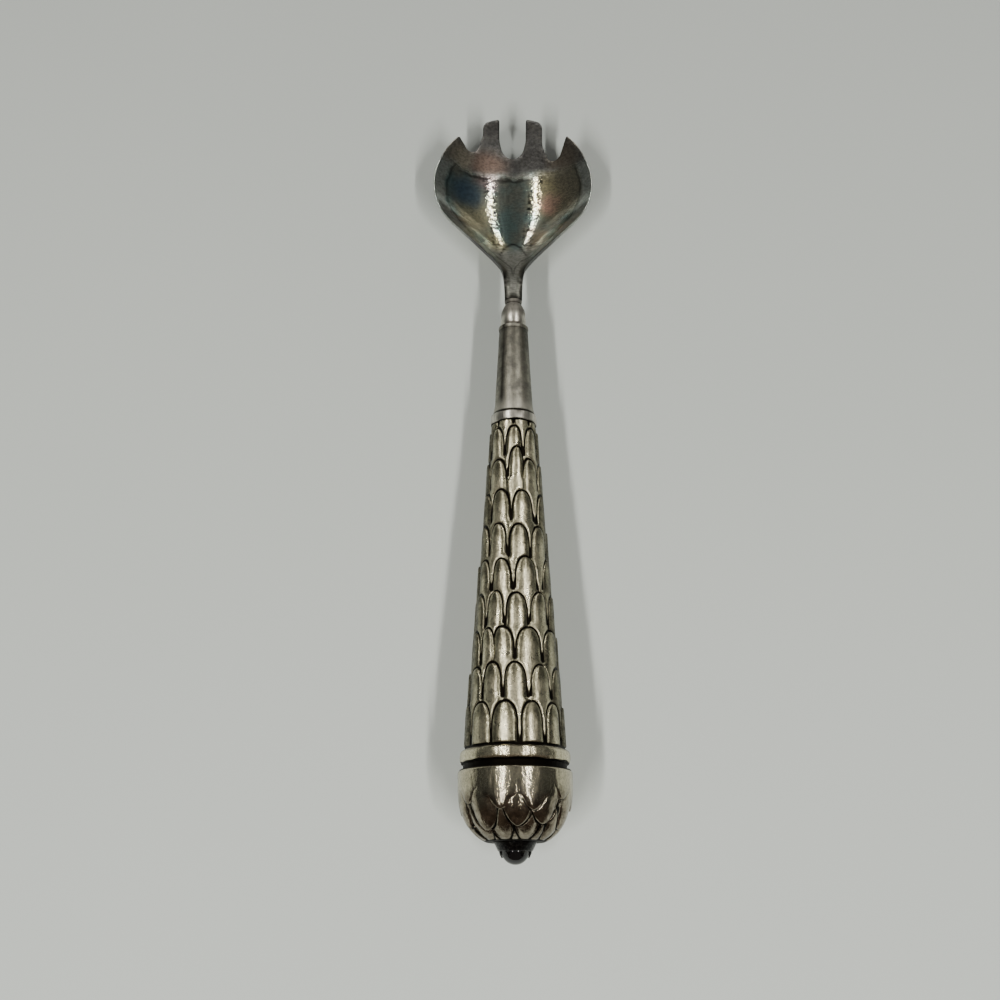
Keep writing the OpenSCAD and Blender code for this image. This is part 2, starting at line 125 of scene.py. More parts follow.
def pick(*pieces):
    """Selects these pieces alone, with the last one active."""
    bpy.ops.object.select_all(action="DESELECT")
    for piece in pieces:
        piece.select_set(True)
        bpy.context.view_layer.objects.active = piece


def points_of(piece):
    """The places of a piece's points, one to a row, in mm."""
    places = np.empty(len(piece.data.vertices) * 3)
    piece.data.vertices.foreach_get("co", places)
    return places.reshape(-1, 3) / MM


def move_points(piece, places):
    """Moves a piece's points to the given places, in mm."""
    piece.data.vertices.foreach_set("co", np.array(places).ravel() * MM)
    piece.data.update()


def mark(piece, **marks):
    """Stores named values on a piece's points, for its material to read."""
    for name, values in marks.items():
        piece.data.attributes.new(name, "FLOAT", "POINT").data.foreach_set("value", values)


def finish_mesh(crease, merge=0.0):
    """Merges the active mesh's double points, turns its faces outwards and smooths all but its creases."""
    bpy.ops.object.mode_set(mode="EDIT")
    bpy.ops.mesh.select_all(action="SELECT")
    if merge:
        bpy.ops.mesh.remove_doubles(threshold=merge * MM)
    bpy.ops.mesh.normals_make_consistent(inside=False)
    bpy.ops.object.mode_set(mode="OBJECT")
    bpy.ops.object.shade_smooth_by_angle(angle=math.radians(crease))


# The flat blank: its outline, three narrow steps for the rounded rim, and a grid that is finer at the neck
outline = np.array(half_outline(right_gap_low) + [(-x, h) for x, h in half_outline(left_gap_low)[-2::-1]])
pick()
bpy.ops.mesh.primitive_circle_add(vertices=len(outline), radius=bowl_r * MM, fill_type="NGON")
head = bpy.context.object
head.name = head.data.name = "fork_head_polished"
move_points(head, np.column_stack([outline, np.zeros(len(outline))]))
bpy.ops.object.mode_set(mode="EDIT")
bpy.ops.mesh.normals_make_consistent(inside=False)
for step in (0.10, 0.12, 0.14):
    bpy.ops.mesh.inset(thickness=step * MM, use_even_offset=True)
across_cuts = [*np.arange(-27, 28, 1.0), *np.arange(-6.5, 7, 1.0)]
along_cuts = [*np.arange(1, 76, 1.0), *np.arange(0.5, 36, 1.0)]
cuts = [((x * MM, 0, 0), (1, 0, 0)) for x in across_cuts] + [((0, h * MM, 0), (0, 1, 0)) for h in along_cuts]
for spot, facing in cuts:
    bpy.ops.mesh.select_all(action="SELECT")
    bpy.ops.mesh.bisect(plane_co=spot, plane_no=facing)
bpy.ops.mesh.select_all(action="SELECT")
bpy.ops.mesh.remove_doubles(threshold=0.02 * MM)
bpy.ops.object.mode_set(mode="OBJECT")
wall = head.modifiers.new("plate", "SOLIDIFY")
wall.thickness, wall.offset = bowl_t * MM, 0
bpy.ops.object.modifier_apply(modifier="plate")


def ease(t):
    """A smooth step from 0 to 1."""
    t = np.clip(t, 0, 1)
    return t ** 2 * (3 - 2 * t)


def dip(h):
    """How far the neck has dipped into the bowl, from 0 on the neck to 1 at the belly."""
    return np.mean([ease(np.clip((h + d - neck_straight) / (belly - neck_straight), 0, 1) ** dip_power)
                    for d in np.linspace(-3, 3, 9)], axis=0)


def keel(h):
    """Height of the plate's middle along the centre line, with a slight bend where the tines begin."""
    dropped = axis_z + (bowl_t / 2 - axis_z) * dip(h)
    floor_share = np.clip(h - belly, 0, 99) / (tine_crease - belly)
    floor_line = bowl_t / 2 + (crease_z - bowl_t / 2) * floor_share ** 2
    past = np.clip(h - tine_crease, 0, 99)
    reach = bowl_reach + bowl_r - tine_crease
    tine_line = crease_z + tine_rise * past + (tip_z - crease_z - tine_rise * reach) * (past / reach) ** 2
    return np.where(h < belly, dropped, np.where(h < tine_crease, floor_line, tine_line))


# Dapping: each point of the blank gets the height of the bowl, the neck or the tines at its place.
spots = points_of(head)
x, h, top = spots[:, 0], spots[:, 1].copy(), spots[:, 2] > 0
from_rim = np.full(len(spots), 99.0)
for start, end in zip(outline, np.roll(outline, -1, axis=0)):
    run = end - start
    t = np.clip(((x - start[0]) * run[0] + (h - start[1]) * run[1]) / max(run @ run, 1e-9), 0, 1)
    from_rim = np.minimum(from_rim, np.hypot(x - start[0] - t * run[0], h - start[1] - t * run[1]))
rim_level = axis_z + (keel(bowl_reach) + bowl_depth - axis_z) * np.clip(h / bowl_reach, 0, 1)
wall_high = np.where(h < bowl_reach, np.clip(rim_level - keel(h), 0, 99), bowl_depth)
wide = np.where(h < bowl_reach, np.vectorize(half_width)(np.clip(h, 0, bowl_reach)), bowl_r)
share = np.clip(np.abs(x) / wide, 0, 1)
roundness = hollow_power + (trough_power - hollow_power) * (1 - np.clip(h / trough_end, 0, 1)) ** 1.5
middle = keel(h) + wall_high * share ** roundness
thick = (neck_t + (bowl_t - neck_t) * dip(h)) / 2
crowned = neck_crown * share ** 2.6
rolled = rim_roll - np.sqrt(np.clip(rim_roll ** 2 - np.clip(rim_roll - from_rim, 0, 9) ** 2, 0, 9))
lowered = crowned + (rolled - crowned) * ease((h - 4) / 20)
# The neck's flat top ends in a low rounded tongue on the floor of the bowl.
tongue = tongue_end - tongue_arch * (x / tongue_half) ** 2 - h
lowered = lowered - np.where(top, tongue_high * ease(tongue / 0.7 + 0.5) * ease((h - 12) / 8), 0)
spots[:, 2] = middle + np.where(top, 1, -1) * (thick - lowered)
spots[:, 1] += shoulder
move_points(head, spots)
mark(head, from_rim=from_rim, outside=np.where(top, 0.0, 1.0),
     seam=np.where(top & (np.abs(x) < 4.6), np.exp(-(tongue / 0.5) ** 2), 0))

pick()
bpy.ops.mesh.primitive_cylinder_add(vertices=40, radius=tang_r * MM, depth=(tang_len + 1) * MM,
                                    rotation=(math.pi / 2, 0, 0),
                                    location=(0, (shoulder - tang_len / 2 + 0.5) * MM, axis_z * MM))
tang = bpy.context.object
bpy.ops.object.transform_apply(location=True, rotation=True, scale=True)
bpy.ops.object.mode_set(mode="EDIT")
bpy.ops.mesh.select_all(action="SELECT")
bpy.ops.mesh.bevel(offset=0.5 * MM, segments=3, affect="EDGES")
bpy.ops.object.mode_set(mode="OBJECT")
pick(tang, head)
bpy.ops.object.join()
finish_mesh(crease=50)


def linear(colour):
    """Turns an sRGB hex colour into the linear values that a shader works in."""
    parts = [int(colour[i:i + 2], 16) / 255 for i in (1, 3, 5)]
    return [c / 12.92 if c <= 0.04045 else ((c + 0.055) / 1.055) ** 2.4 for c in parts] + [1.0]


def add_node(tree, kind, links=None, stops=None, out=0, **settings):
    """Adds a shader node with its settings and gives one output; links holds values or feeding outputs."""
    made = tree.nodes.new("ShaderNode" + kind)
    for key, value in settings.items():
        setattr(made, key, value)
    for place, colour in stops or []:
        near = [s for s in made.color_ramp.elements if abs(s.position - place) < 1e-4]
        stop = near[0] if near else made.color_ramp.elements.new(place)
        stop.color = linear(colour)
    for key, value in (links or {}).items():
        if isinstance(value, bpy.types.NodeSocket):
            tree.links.new(value, made.inputs[key])
        else:
            made.inputs[key].default_value = value
    return made.outputs[out] if made.outputs else None


def new_finish(name):
    """Starts a material, and gives it with its node tree and the place that its patterns follow."""
    made = bpy.data.materials.new(name)
    made.use_nodes = True
    made.node_tree.nodes.clear()
    return made, made.node_tree, add_node(made.node_tree, "TexCoord", out="Object")


softly = {"interpolation_type": "SMOOTHSTEP"}
in_colour = {"data_type": "RGBA", "out": 2}


def tint(tree, place, shift, ground, patches):
    """Lays soft patches over a ground, each with its middle and reach in mm, its colour and its strength."""
    for middle_at, reach, colour, strength in patches:
        patch = add_node(tree, "Mapping", {"Vector": place, "Location": [(c + shift) * MM for c in middle_at],
                                           "Scale": [r * MM for r in reach]}, vector_type="TEXTURE")
        fade = add_node(tree, "TexGradient", {"Vector": patch}, out="Fac", gradient_type="SPHERICAL")
        amount = add_node(tree, "MapRange", {"Value": fade, "From Max": 0.75, "To Max": strength}, **softly)
        ground = add_node(tree, "Mix", {0: amount, 6: ground, 7: linear(colour)}, **in_colour)
    return ground


# Tarnished silver plate: a mirror polish under a sulphide film that runs from straw over rose to slate
# blue as it thickens, smoky brown on the tines, greyer along the neck and along the rim, where the grey is
# partly a painted reflection, with fine wiping scratches.
tarnished, tree, place = new_finish("tarnished_silver_plate")
drift_reach = 7
drift = add_node(tree, "TexNoise", {"Vector": place, "Scale": 1 / (9 * MM), "Detail": 3.0})
strayed = add_node(tree, "VectorMath", {0: drift.node.outputs["Color"], 1: [drift_reach * MM] * 3, 2: place},
                   operation="MULTIPLY_ADD")
cloud = add_node(tree, "TexNoise", {"Vector": place, "Scale": 1 / (11 * MM), "Detail": 4.0, "Roughness": 0.6})
film = add_node(tree, "ValToRGB", {"Fac": cloud},
                stops=[(0.0, "#6a7e80"), (0.42, "#839894"), (0.58, "#92968c"), (1.0, "#aca696")])
# The drift moves a patch by half its reach on average, which is added to the patches' middles.
# The pale straw patch at (-6, 84, 8) is a painted highlight; the other patches are film colours.
film = tint(tree, strayed, drift_reach / 2, film, [
    ((-13, 97, 3), (10, 15, 20), "#d0c8a4", 0.9), ((13, 105, 4), (10, 16, 20), "#c4b890", 0.9),
    ((-6, 84, 8), (6, 10, 16), "#e2d9ae", 0.95), ((8, 86, 8), (7, 12, 16), "#bfb29a", 0.8),
    ((14, 101, 5), (5, 7, 16), "#e6b8a6", 0.8), ((-9, 111, 3), (7, 5, 16), "#b2989a", 0.6),
    ((-17, 105, 6), (10, 9, 16), "#667f93", 0.9), ((21, 106, 9), (9, 14, 16), "#aca28c", 0.8)])
mottle = add_node(tree, "TexNoise", {"Vector": place, "Scale": 1 / (2.6 * MM), "Detail": 6.0,
                                     "Roughness": 0.7})
# The rim and the flanks keep a grey band, partly wiped plate and partly a painted reflection of the pale
# floor.
from_edge = add_node(tree, "Attribute", out="Fac", attribute_name="from_rim")
uneven = add_node(tree, "Math", {0: drift, 1: 5.0, 2: -2.5}, operation="MULTIPLY_ADD")
band_at = add_node(tree, "Math", {0: from_edge, 1: uneven}, operation="ADD")
band_grey_and_reflection = add_node(tree, "ValToRGB", {"Fac": mottle},
                  stops=[(0.0, "#7b7e79"), (0.5, "#a3a6a1"), (1.0, "#c6c7bf")])
in_band = add_node(tree, "MapRange", {"Value": band_at, "From Min": 3.0, "From Max": 4.4, "To Min": 0.85,
                                      "To Max": 0.0}, **softly)
film = add_node(tree, "Mix", {0: in_band, 6: film, 7: band_grey_and_reflection}, **in_colour)
# The tines are smoked down to a wavering line.
along = add_node(tree, "SeparateXYZ", {0: place}, out="Y")
wavy = add_node(tree, "Math", {0: mottle, 1: 2.4 * MM, 2: along}, operation="MULTIPLY_ADD")
patchy = add_node(tree, "Math", {0: drift, 1: 5 * MM, 2: wavy}, operation="MULTIPLY_ADD")
smoked = add_node(tree, "ValToRGB", {"Fac": mottle},
                  stops=[(0.0, "#3c3d3d"), (0.42, "#565656"), (0.58, "#666664"), (1.0, "#969690")])
smoked = tint(tree, strayed, drift_reach / 2, smoked, [
    ((-9, 117, 5), (11, 7, 20), "#6b594f", 0.8), ((9, 118, 5), (14, 9, 20), "#3a3938", 0.9),
    ((-20, 116, 10), (8, 9, 20), "#96907f", 0.6), ((19, 116, 10), (9, 11, 20), "#6b6255", 0.6)])
crease_at = (shoulder + tine_crease + 1.2) * MM
tine_zone = add_node(tree, "MapRange", {"Value": patchy, "From Min": crease_at + 1.6 * MM,
                                        "From Max": crease_at + 5.5 * MM}, **softly)
film = add_node(tree, "Mix", {0: tine_zone, 6: film, 7: smoked}, **in_colour)
# The neck is duller, with painted shade along its sides and a painted highlight along its crest.
neck_grey = add_node(tree, "ValToRGB", {"Fac": mottle},
                     stops=[(0.0, "#3e3e3a"), (0.5, "#5a5a54"), (1.0, "#86867e")])
on_neck = add_node(tree, "MapRange", {"Value": along, "From Min": (shoulder + 22) * MM,
                                      "From Max": (shoulder + 31) * MM, "To Min": 1.0, "To Max": 0.0},
                   **softly)
painted_neck_side_shade = add_node(tree, "MapRange", {"Value": from_edge, "From Min": 0.5, "From Max": 1.6, "To Min": 0.9,
                                        "To Max": 0.0}, **softly)
neck_grey = add_node(tree, "Mix", {0: painted_neck_side_shade, 6: neck_grey, 7: linear("#2c2b29")}, **in_colour)
painted_neck_crest_highlight = add_node(tree, "MapRange", {"Value": from_edge, "From Min": 1.6, "From Max": 2.6, "To Max": 0.6},
                      **softly)
neck_grey = add_node(tree, "Mix", {0: painted_neck_crest_highlight, 6: neck_grey, 7: linear("#999992")}, **in_colour)
film = add_node(tree, "Mix", {0: on_neck, 6: film, 7: neck_grey}, **in_colour)
# Dark lines: a painted shadow in the crease under the tines, a line round the neck's tongue, and painted
# shade along the inner edge of the grey band.
near_line = add_node(tree, "Math", {0: patchy, 1: crease_at + 2.5 * MM}, operation="SUBTRACT")
near_line = add_node(tree, "Math", {0: near_line}, operation="ABSOLUTE")
aside = add_node(tree, "SeparateXYZ", {0: strayed}, out="X")
aside = add_node(tree, "Math", {0: aside, 1: -2 * MM}, operation="SUBTRACT")
aside = add_node(tree, "Math", {0: aside}, operation="ABSOLUTE")
line_left = add_node(tree, "MapRange", {"Value": aside, "From Min": 9 * MM, "From Max": 17 * MM,
                                        "To Min": 0.85, "To Max": 0.0})
painted_crease_shadow = add_node(tree, "MapRange", {"Value": near_line, "From Max": 0.8 * MM, "To Min": line_left,
                                          "To Max": 0.0})
seam_line = add_node(tree, "Attribute", out="Fac", attribute_name="seam")
dark_line = add_node(tree, "Math", {0: painted_crease_shadow, 1: seam_line}, operation="MAXIMUM")
past_band = add_node(tree, "Math", {0: band_at, 1: 4.3}, operation="SUBTRACT")
past_band = add_node(tree, "Math", {0: past_band}, operation="ABSOLUTE")
below_tines = add_node(tree, "MapRange", {"Value": tine_zone, "To Min": 0.6, "To Max": 0.0})
painted_band_edge = add_node(tree, "MapRange", {"Value": past_band, "From Max": 0.5, "To Min": below_tines,
                                        "To Max": 0.0})
dark_line = add_node(tree, "Math", {0: dark_line, 1: painted_band_edge}, operation="MAXIMUM")
film = add_node(tree, "Mix", {0: dark_line, 6: film, 7: linear("#2b2724")}, **in_colour)
# Painted reflection: fine dark bars break the two strip-light reflections in the bowl into a ladder.
barred = add_node(tree, "Mapping", {"Vector": place, "Scale": [1 / (d * MM) for d in (1.1, 0.7, 1.1)]})
bars = add_node(tree, "TexNoise", {"Vector": barred, "Scale": 1.0, "Detail": 2.0})
from_middle = add_node(tree, "SeparateXYZ", {0: place}, out="X")
from_middle = add_node(tree, "Math", {0: from_middle}, operation="ABSOLUTE")
reflection_path = add_node(tree, "MapRange", {"Value": along, "From Min": (shoulder + 28) * MM,
                                         "From Max": (shoulder + 55) * MM, "To Min": 4.9 * MM,
                                         "To Max": 8.7 * MM})
from_path = add_node(tree, "Math", {0: from_middle, 1: reflection_path}, operation="SUBTRACT")
from_path = add_node(tree, "Math", {0: from_path}, operation="ABSOLUTE")
ladder_darkest = add_node(tree, "MapRange", {"Value": from_path, "From Min": 1.7 * MM, "From Max": 2.7 * MM,
                                     "To Min": 0.06, "To Max": 0.8}, **softly)
outside = add_node(tree, "Attribute", out="Fac", attribute_name="outside")
calm = add_node(tree, "Math", {0: tine_zone, 1: on_neck}, operation="MAXIMUM")
calm = add_node(tree, "Math", {0: outside, 1: calm}, operation="MAXIMUM")
ladder_darkest = add_node(tree, "Mix", {0: calm, 2: ladder_darkest, 3: 0.8}, data_type="FLOAT")
speck = add_node(tree, "MapRange", {"Value": bars, "From Min": 0.42, "From Max": 0.54, "To Min": ladder_darkest,
                                    "To Max": 1.1})
film = add_node(tree, "Mix", {0: 1.0, 6: film, 7: speck}, blend_type="MULTIPLY", **in_colour)
dull = add_node(tree, "MapRange", {"Value": mottle, "From Min": 0.3, "From Max": 0.75, "To Min": 0.08,
                                   "To Max": 0.16})
dull = add_node(tree, "Mix", {0: on_neck, 2: dull, 3: 0.36}, data_type="FLOAT")
dull = add_node(tree, "Mix", {0: tine_zone, 2: dull, 3: 0.4}, data_type="FLOAT")
# Planishing left faint ripples and bars, wiping left slanting scratches, and the tines are finely etched.
# The scratches are drawn about ten times as coarse as real ones, so that they show.
ripple = add_node(tree, "TexNoise", {"Vector": place, "Scale": 1 / (1.5 * MM), "Detail": 3.0})
relief = add_node(tree, "Bump", {"Height": ripple, "Strength": 0.5, "Distance": 0.1 * MM})
relief = add_node(tree, "Bump", {"Height": bars, "Strength": 0.5, "Distance": 0.05 * MM, "Normal": relief})
wiped = add_node(tree, "Mapping", {"Vector": place, "Scale": [1 / (d * MM) for d in (0.35, 7, 7)],
                                   "Rotation": (0, 0, math.radians(24))})
scratch = add_node(tree, "TexNoise", {"Vector": wiped, "Scale": 1.0, "Detail": 2.0})
relief = add_node(tree, "Bump", {"Height": scratch, "Strength": 0.2, "Distance": 0.05 * MM, "Normal": relief})
grain = add_node(tree, "TexNoise", {"Vector": place, "Scale": 1 / (1.2 * MM), "Detail": 3.0,
                                    "Roughness": 0.65})
etched = add_node(tree, "MapRange", {"Value": tine_zone, "To Min": 0.1, "To Max": 0.55})
relief = add_node(tree, "Bump", {"Height": grain, "Strength": etched, "Distance": 0.12 * MM,
                                 "Normal": relief})
mirror = add_node(tree, "BsdfPrincipled", {"Base Color": film, "Metallic": 1.0, "Roughness": dull,
                                           "Normal": relief})
# A haze lies over the mirror, thickest on the tines, the rim and the neck.
hazy = add_node(tree, "BsdfPrincipled", {"Base Color": film, "Metallic": 1.0, "Roughness": 0.42,
                                         "Normal": relief})
wiped_most = add_node(tree, "Math", {0: tine_zone, 1: in_band}, operation="MAXIMUM")
wiped_most = add_node(tree, "Math", {0: wiped_most, 1: on_neck}, operation="MAXIMUM")
haze = add_node(tree, "MapRange", {"Value": wiped_most, "To Min": 0.12, "To Max": 0.55})
skin = add_node(tree, "MixShader", {0: haze, 1: mirror, 2: hazy})
add_node(tree, "OutputMaterial", {"Surface": skin})
head.data.materials.clear()
head.data.materials.append(tarnished)
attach(head, "root")
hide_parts("fork_head")

# Neck bolster
# A small bulb turned from brass bar, bored for the tang, with a spigot that plugs the ferrule's mouth.
# Silver plated and still bright, since fingers polish it.
bolster_len, bolster_bore, plug_r, plug_len = 10.5, 2.15, 4.1, 3.0
bulb_foot_r, bulb_top_r = 3.55, 3.0
bolster_low = shoulder - bolster_len


def turned(name, profile, soften, steps=128):
    """Rounds the corners of a closed profile of radius and place along the axis, and spins it."""
    loop = []
    for i, (point, reach) in enumerate(zip(profile, soften)):
        before, after = profile[i - 1], profile[(i + 1) % len(profile)]
        loop += soft_corner(before, point, after, reach)[::2] if reach else [point]
    pick()
    bpy.ops.mesh.primitive_circle_add(vertices=len(loop), radius=MM, fill_type="NOTHING")
    piece = bpy.context.object
    piece.name = piece.data.name = name
    move_points(piece, [(0, a, axis_z + r) for r, a in loop])
    bpy.ops.object.mode_set(mode="EDIT")
    bpy.ops.mesh.select_all(action="SELECT")
    bpy.ops.mesh.spin(steps=steps, angle=2 * math.pi, center=(0, 0, axis_z * MM), axis=(0, 1, 0))
    finish_mesh(crease=40, merge=0.01)
    return piece


def axis_spots(piece):
    """Radius, angle from the top and place along the axis of each point of a turned piece, in mm."""
    at = points_of(piece)
    return np.hypot(at[:, 0], at[:, 2] - axis_z), np.arctan2(at[:, 0], at[:, 2] - axis_z), at[:, 1]


bulb = [(3.2, 0.0), (3.72, 0.4), (4.1, 0.95), (4.3, 1.6), (4.34, 2.1), (4.3, 2.8), (4.2, 3.5), (4.12, 4.0),
        (4.1, 4.4), (4.1, 4.9), (4.02, 5.7), (3.82, 6.6), (3.44, 7.5), (2.98, 8.3), (2.66, 8.8), (2.64, 9.1),
        (2.84, 9.4), (2.88, 9.8)]
bulb = [(r, bolster_low + a) for r, a in bulb]
bolster_line = [(bolster_bore, bolster_low - plug_len), (plug_r, bolster_low - plug_len),
                (plug_r, bolster_low - 0.35), (bulb_foot_r, bolster_low - 0.3)] + bulb \
    + [(bulb_top_r, shoulder), (bolster_bore, shoulder)]
bolster = turned("neck_bolster_turned", bolster_line, [0, 0.2, 0, 0] + [0.25] * len(bulb) + [0.2, 0.1])
# Oxide stays at both ends and under the collar, and the dome is greyed as painted shade.
r, turn, a = axis_spots(bolster)
edge = np.maximum(ease((bolster_low + 0.6 - a) / 0.5), ease((a - shoulder + 0.75) / 0.5))
edge = np.maximum(edge, np.exp(-((a - bolster_low - 9) / 0.3) ** 2))
edge = np.maximum(edge, 0.7 * ease((a - bolster_low - 2.7) / 3.0))
mark(bolster, oxide=edge)

# Handled silver plate: turned brass under silver that hands keep bright, so it stays a clear warm shine
# with grey stains, short rubbing marks along the axis and black oxide where two parts meet. The marks are
# drawn coarser than real ones, so that they show.
handled, tree, place = new_finish("handled_silver_plate")
stain = add_node(tree, "TexNoise", {"Vector": place, "Scale": 1 / (5 * MM), "Detail": 5.0, "Roughness": 0.62})
tone = add_node(tree, "ValToRGB", {"Fac": stain},
                stops=[(0.0, "#8a867f"), (0.4, "#b3afa6"), (0.56, "#cbc6bb"), (1.0, "#e6e1d6")])
rub = add_node(tree, "Mapping", {"Vector": place, "Scale": [1 / (d * MM) for d in (0.5, 9, 0.5)]})
marks = add_node(tree, "TexNoise", {"Vector": rub, "Scale": 1.0, "Detail": 4.0})
streak = add_node(tree, "MapRange", {"Value": marks, "From Min": 0.5, "From Max": 0.72, "To Max": 0.45},
                  **softly)
tone = add_node(tree, "Mix", {0: streak, 6: tone, 7: linear("#55524d")}, **in_colour)
lines = add_node(tree, "Attribute", out="Fac", attribute_name="oxide")
tone = add_node(tree, "Mix", {0: lines, 6: tone, 7: linear("#14110d")}, **in_colour)
dull = add_node(tree, "MapRange", {"Value": marks, "From Min": 0.3, "From Max": 0.7, "To Min": 0.26,
                                   "To Max": 0.38})
dull = add_node(tree, "Mix", {0: lines, 2: dull, 3: 0.7}, data_type="FLOAT")
relief = add_node(tree, "Bump", {"Height": stain, "Strength": 0.5, "Distance": 0.3 * MM})
skin = add_node(tree, "BsdfPrincipled", {"Base Color": tone, "Metallic": 1.0, "Roughness": dull,
                                         "Normal": relief})
add_node(tree, "OutputMaterial", {"Surface": skin})
bolster.data.materials.append(handled)
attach(bolster, "root")
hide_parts("neck_bolster")

# Ferrule
# A tapered tube drawn from brass sheet with a flared foot; its tail plugs the handle and its mouth takes
# the bolster's spigot. Silver plated, worn to a streaky grey.
ferrule_len, tail_len, tail_r, tail_bore = 32.6, 8.4, 5.55, 4.65
foot_r, flare_top_r, flare_len, mouth_bore = 7.1, 6.15, 7, 4.15
ferrule_low = bolster_low - ferrule_len
flare = [(foot_r + (flare_top_r - foot_r) * (1 - (1 - t) ** 2), ferrule_low + flare_len * t)
         for t in np.linspace(0.06, 1, 14)]
mouth = [(4.85, bolster_low - 1.3), (5.1, bolster_low - 0.7), (5.05, bolster_low), (mouth_bore, bolster_low)]
ferrule_line = [(tail_bore, ferrule_low - tail_len), (tail_r, ferrule_low - tail_len), (tail_r, ferrule_low),
                (foot_r, ferrule_low)] + flare + mouth \
    + [(mouth_bore, bolster_low - plug_len), (tail_bore, ferrule_low + flare_len)]
ferrule = turned("ferrule_drawn", ferrule_line,
                 [0.2, 0.2, 0, 0.3] + [0] * len(flare) + [0.4, 0.3, 0.22, 0.15, 0, 0])
# Oxide stays at the foot, under the lip and in the mouth, and one long dark line runs down the left.
r, turn, a = axis_spots(ferrule)
edge = np.maximum(ease((ferrule_low + 0.95 - a) / 0.4), 0.9 * np.exp(-((a - bolster_low + 1.5) / 0.3) ** 2))
edge = np.maximum(edge, ease((a - bolster_low + 0.25) / 0.25))
edge = np.maximum(edge, 0.75 * np.exp(-((turn + 0.72) / 0.13) ** 2) * ease((a - ferrule_low - 2) / 4))
mark(ferrule, oxide=edge)

# Worn silver plate: the same silver where sheet was drawn and never polished since, a dull blotchy grey
# with long drawing marks, drawn coarse enough to show, and darker stains, lighter towards the flare.
worn_plate, tree, place = new_finish("worn_silver_plate")
stain = add_node(tree, "TexNoise", {"Vector": place, "Scale": 1 / (4 * MM), "Detail": 6.0, "Roughness": 0.68})
tone = add_node(tree, "ValToRGB", {"Fac": stain},
                stops=[(0.0, "#45443f"), (0.42, "#6d6b64"), (0.58, "#878479"), (1.0, "#b4b0a2")])
drawn = add_node(tree, "Mapping", {"Vector": place, "Scale": [1 / (d * MM) for d in (0.5, 9, 0.5)]})
marks = add_node(tree, "TexNoise", {"Vector": drawn, "Scale": 1.0, "Detail": 4.0})
streak = add_node(tree, "MapRange", {"Value": marks, "From Min": 0.5, "From Max": 0.72, "To Max": 0.35},
                  **softly)
tone = add_node(tree, "Mix", {0: streak, 6: tone, 7: linear("#55524d")}, **in_colour)
along = add_node(tree, "SeparateXYZ", {0: place}, out="Y")
patchy = add_node(tree, "Math", {0: stain, 1: 6 * MM, 2: along}, operation="MULTIPLY_ADD")
bright = add_node(tree, "MapRange", {"Value": patchy, "From Min": (ferrule_low + 4) * MM,
                                     "From Max": (ferrule_low + 9) * MM, "To Min": 0.4, "To Max": 0.0},
                  **softly)
tone = add_node(tree, "Mix", {0: bright, 6: tone, 7: linear("#c4c0b4")}, **in_colour)
lines = add_node(tree, "Attribute", out="Fac", attribute_name="oxide")
tone = add_node(tree, "Mix", {0: lines, 6: tone, 7: linear("#14110d")}, **in_colour)
dull = add_node(tree, "MapRange", {"Value": stain, "From Min": 0.3, "From Max": 0.7, "To Min": 0.62,
                                   "To Max": 0.36})
relief = add_node(tree, "Bump", {"Height": stain, "Strength": 0.8, "Distance": 0.3 * MM})
skin = add_node(tree, "BsdfPrincipled", {"Base Color": tone, "Metallic": 1.0, "Roughness": dull,
                                         "Normal": relief})
add_node(tree, "OutputMaterial", {"Surface": skin})
ferrule.data.materials.append(worn_plate)
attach(ferrule, "root")
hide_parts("ferrule")

# Ferrule band
# A plain ring of half-flat brass wire, silver plated and soldered where the ferrule enters the handle.
# Black oxide lines both of its edges.
band_wide, band_bore, band_r = 3.4, 5.6, 7.6
band_low = ferrule_low - band_wide
band_line = [(band_bore, band_low), (band_r, band_low), (band_r, ferrule_low), (band_bore, ferrule_low)]
band = turned("ferrule_band_wire", band_line, [0.2, 0.6, 0.6, 0.2])
r, turn, a = axis_spots(band)
wander = 0.15 * np.sin(turn * 3 + 1) + 0.1 * np.sin(turn * 8)
edge = np.maximum(ease((band_low + 0.45 + wander - a) / 0.3), ease((a - ferrule_low + 0.55 + wander) / 0.3))
mark(band, oxide=edge)
band.data.materials.append(handled)
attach(band, "root")
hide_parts("ferrule_band")

# Handle shells
# Two half shells stamped from thin brass sheet with rows of overlapping scales, chased by hand along each
# arch, brazed along the sides and silver plated. Black oxide stays in the chased lines.
sleeve_len, sleeve_wide, sleeve_narrow, sheet_sink = 106.6, 15.7, 7.3, 1.7
sleeve_low = band_low - sleeve_len
first_tip, row_pitch = 12.7, 11.4
most_scales, fewest_scales = 11, 8
cone_at = lambda a: sleeve_wide + (sleeve_narrow - sleeve_wide) * (a - sleeve_low) / sleeve_len
# Middles of the scales that show from above, in degrees from the top, row by row from the pommel
seen_scales = [[-45, -13, 20, 51], [-59, -31, -1, 34, 68], [-68, -41, -19, 19, 60], [-64, -30, 1, 41],
               [-23, 18, 69], [-31, 7], [-29, 15, 69], [-38, 7, 34], [0], [22]]
# One scale, row 7's second, was struck further up than its row.
high_scale, high_by = (7, 1), 4
line_deep, edge_soft, pillow_high, pillow_reach, crown_power = 0.45, 0.3, 0.2, 0.55, 2.3
scale_limit, end_dip = 0.5, 0.5
chance = random.Random(7)


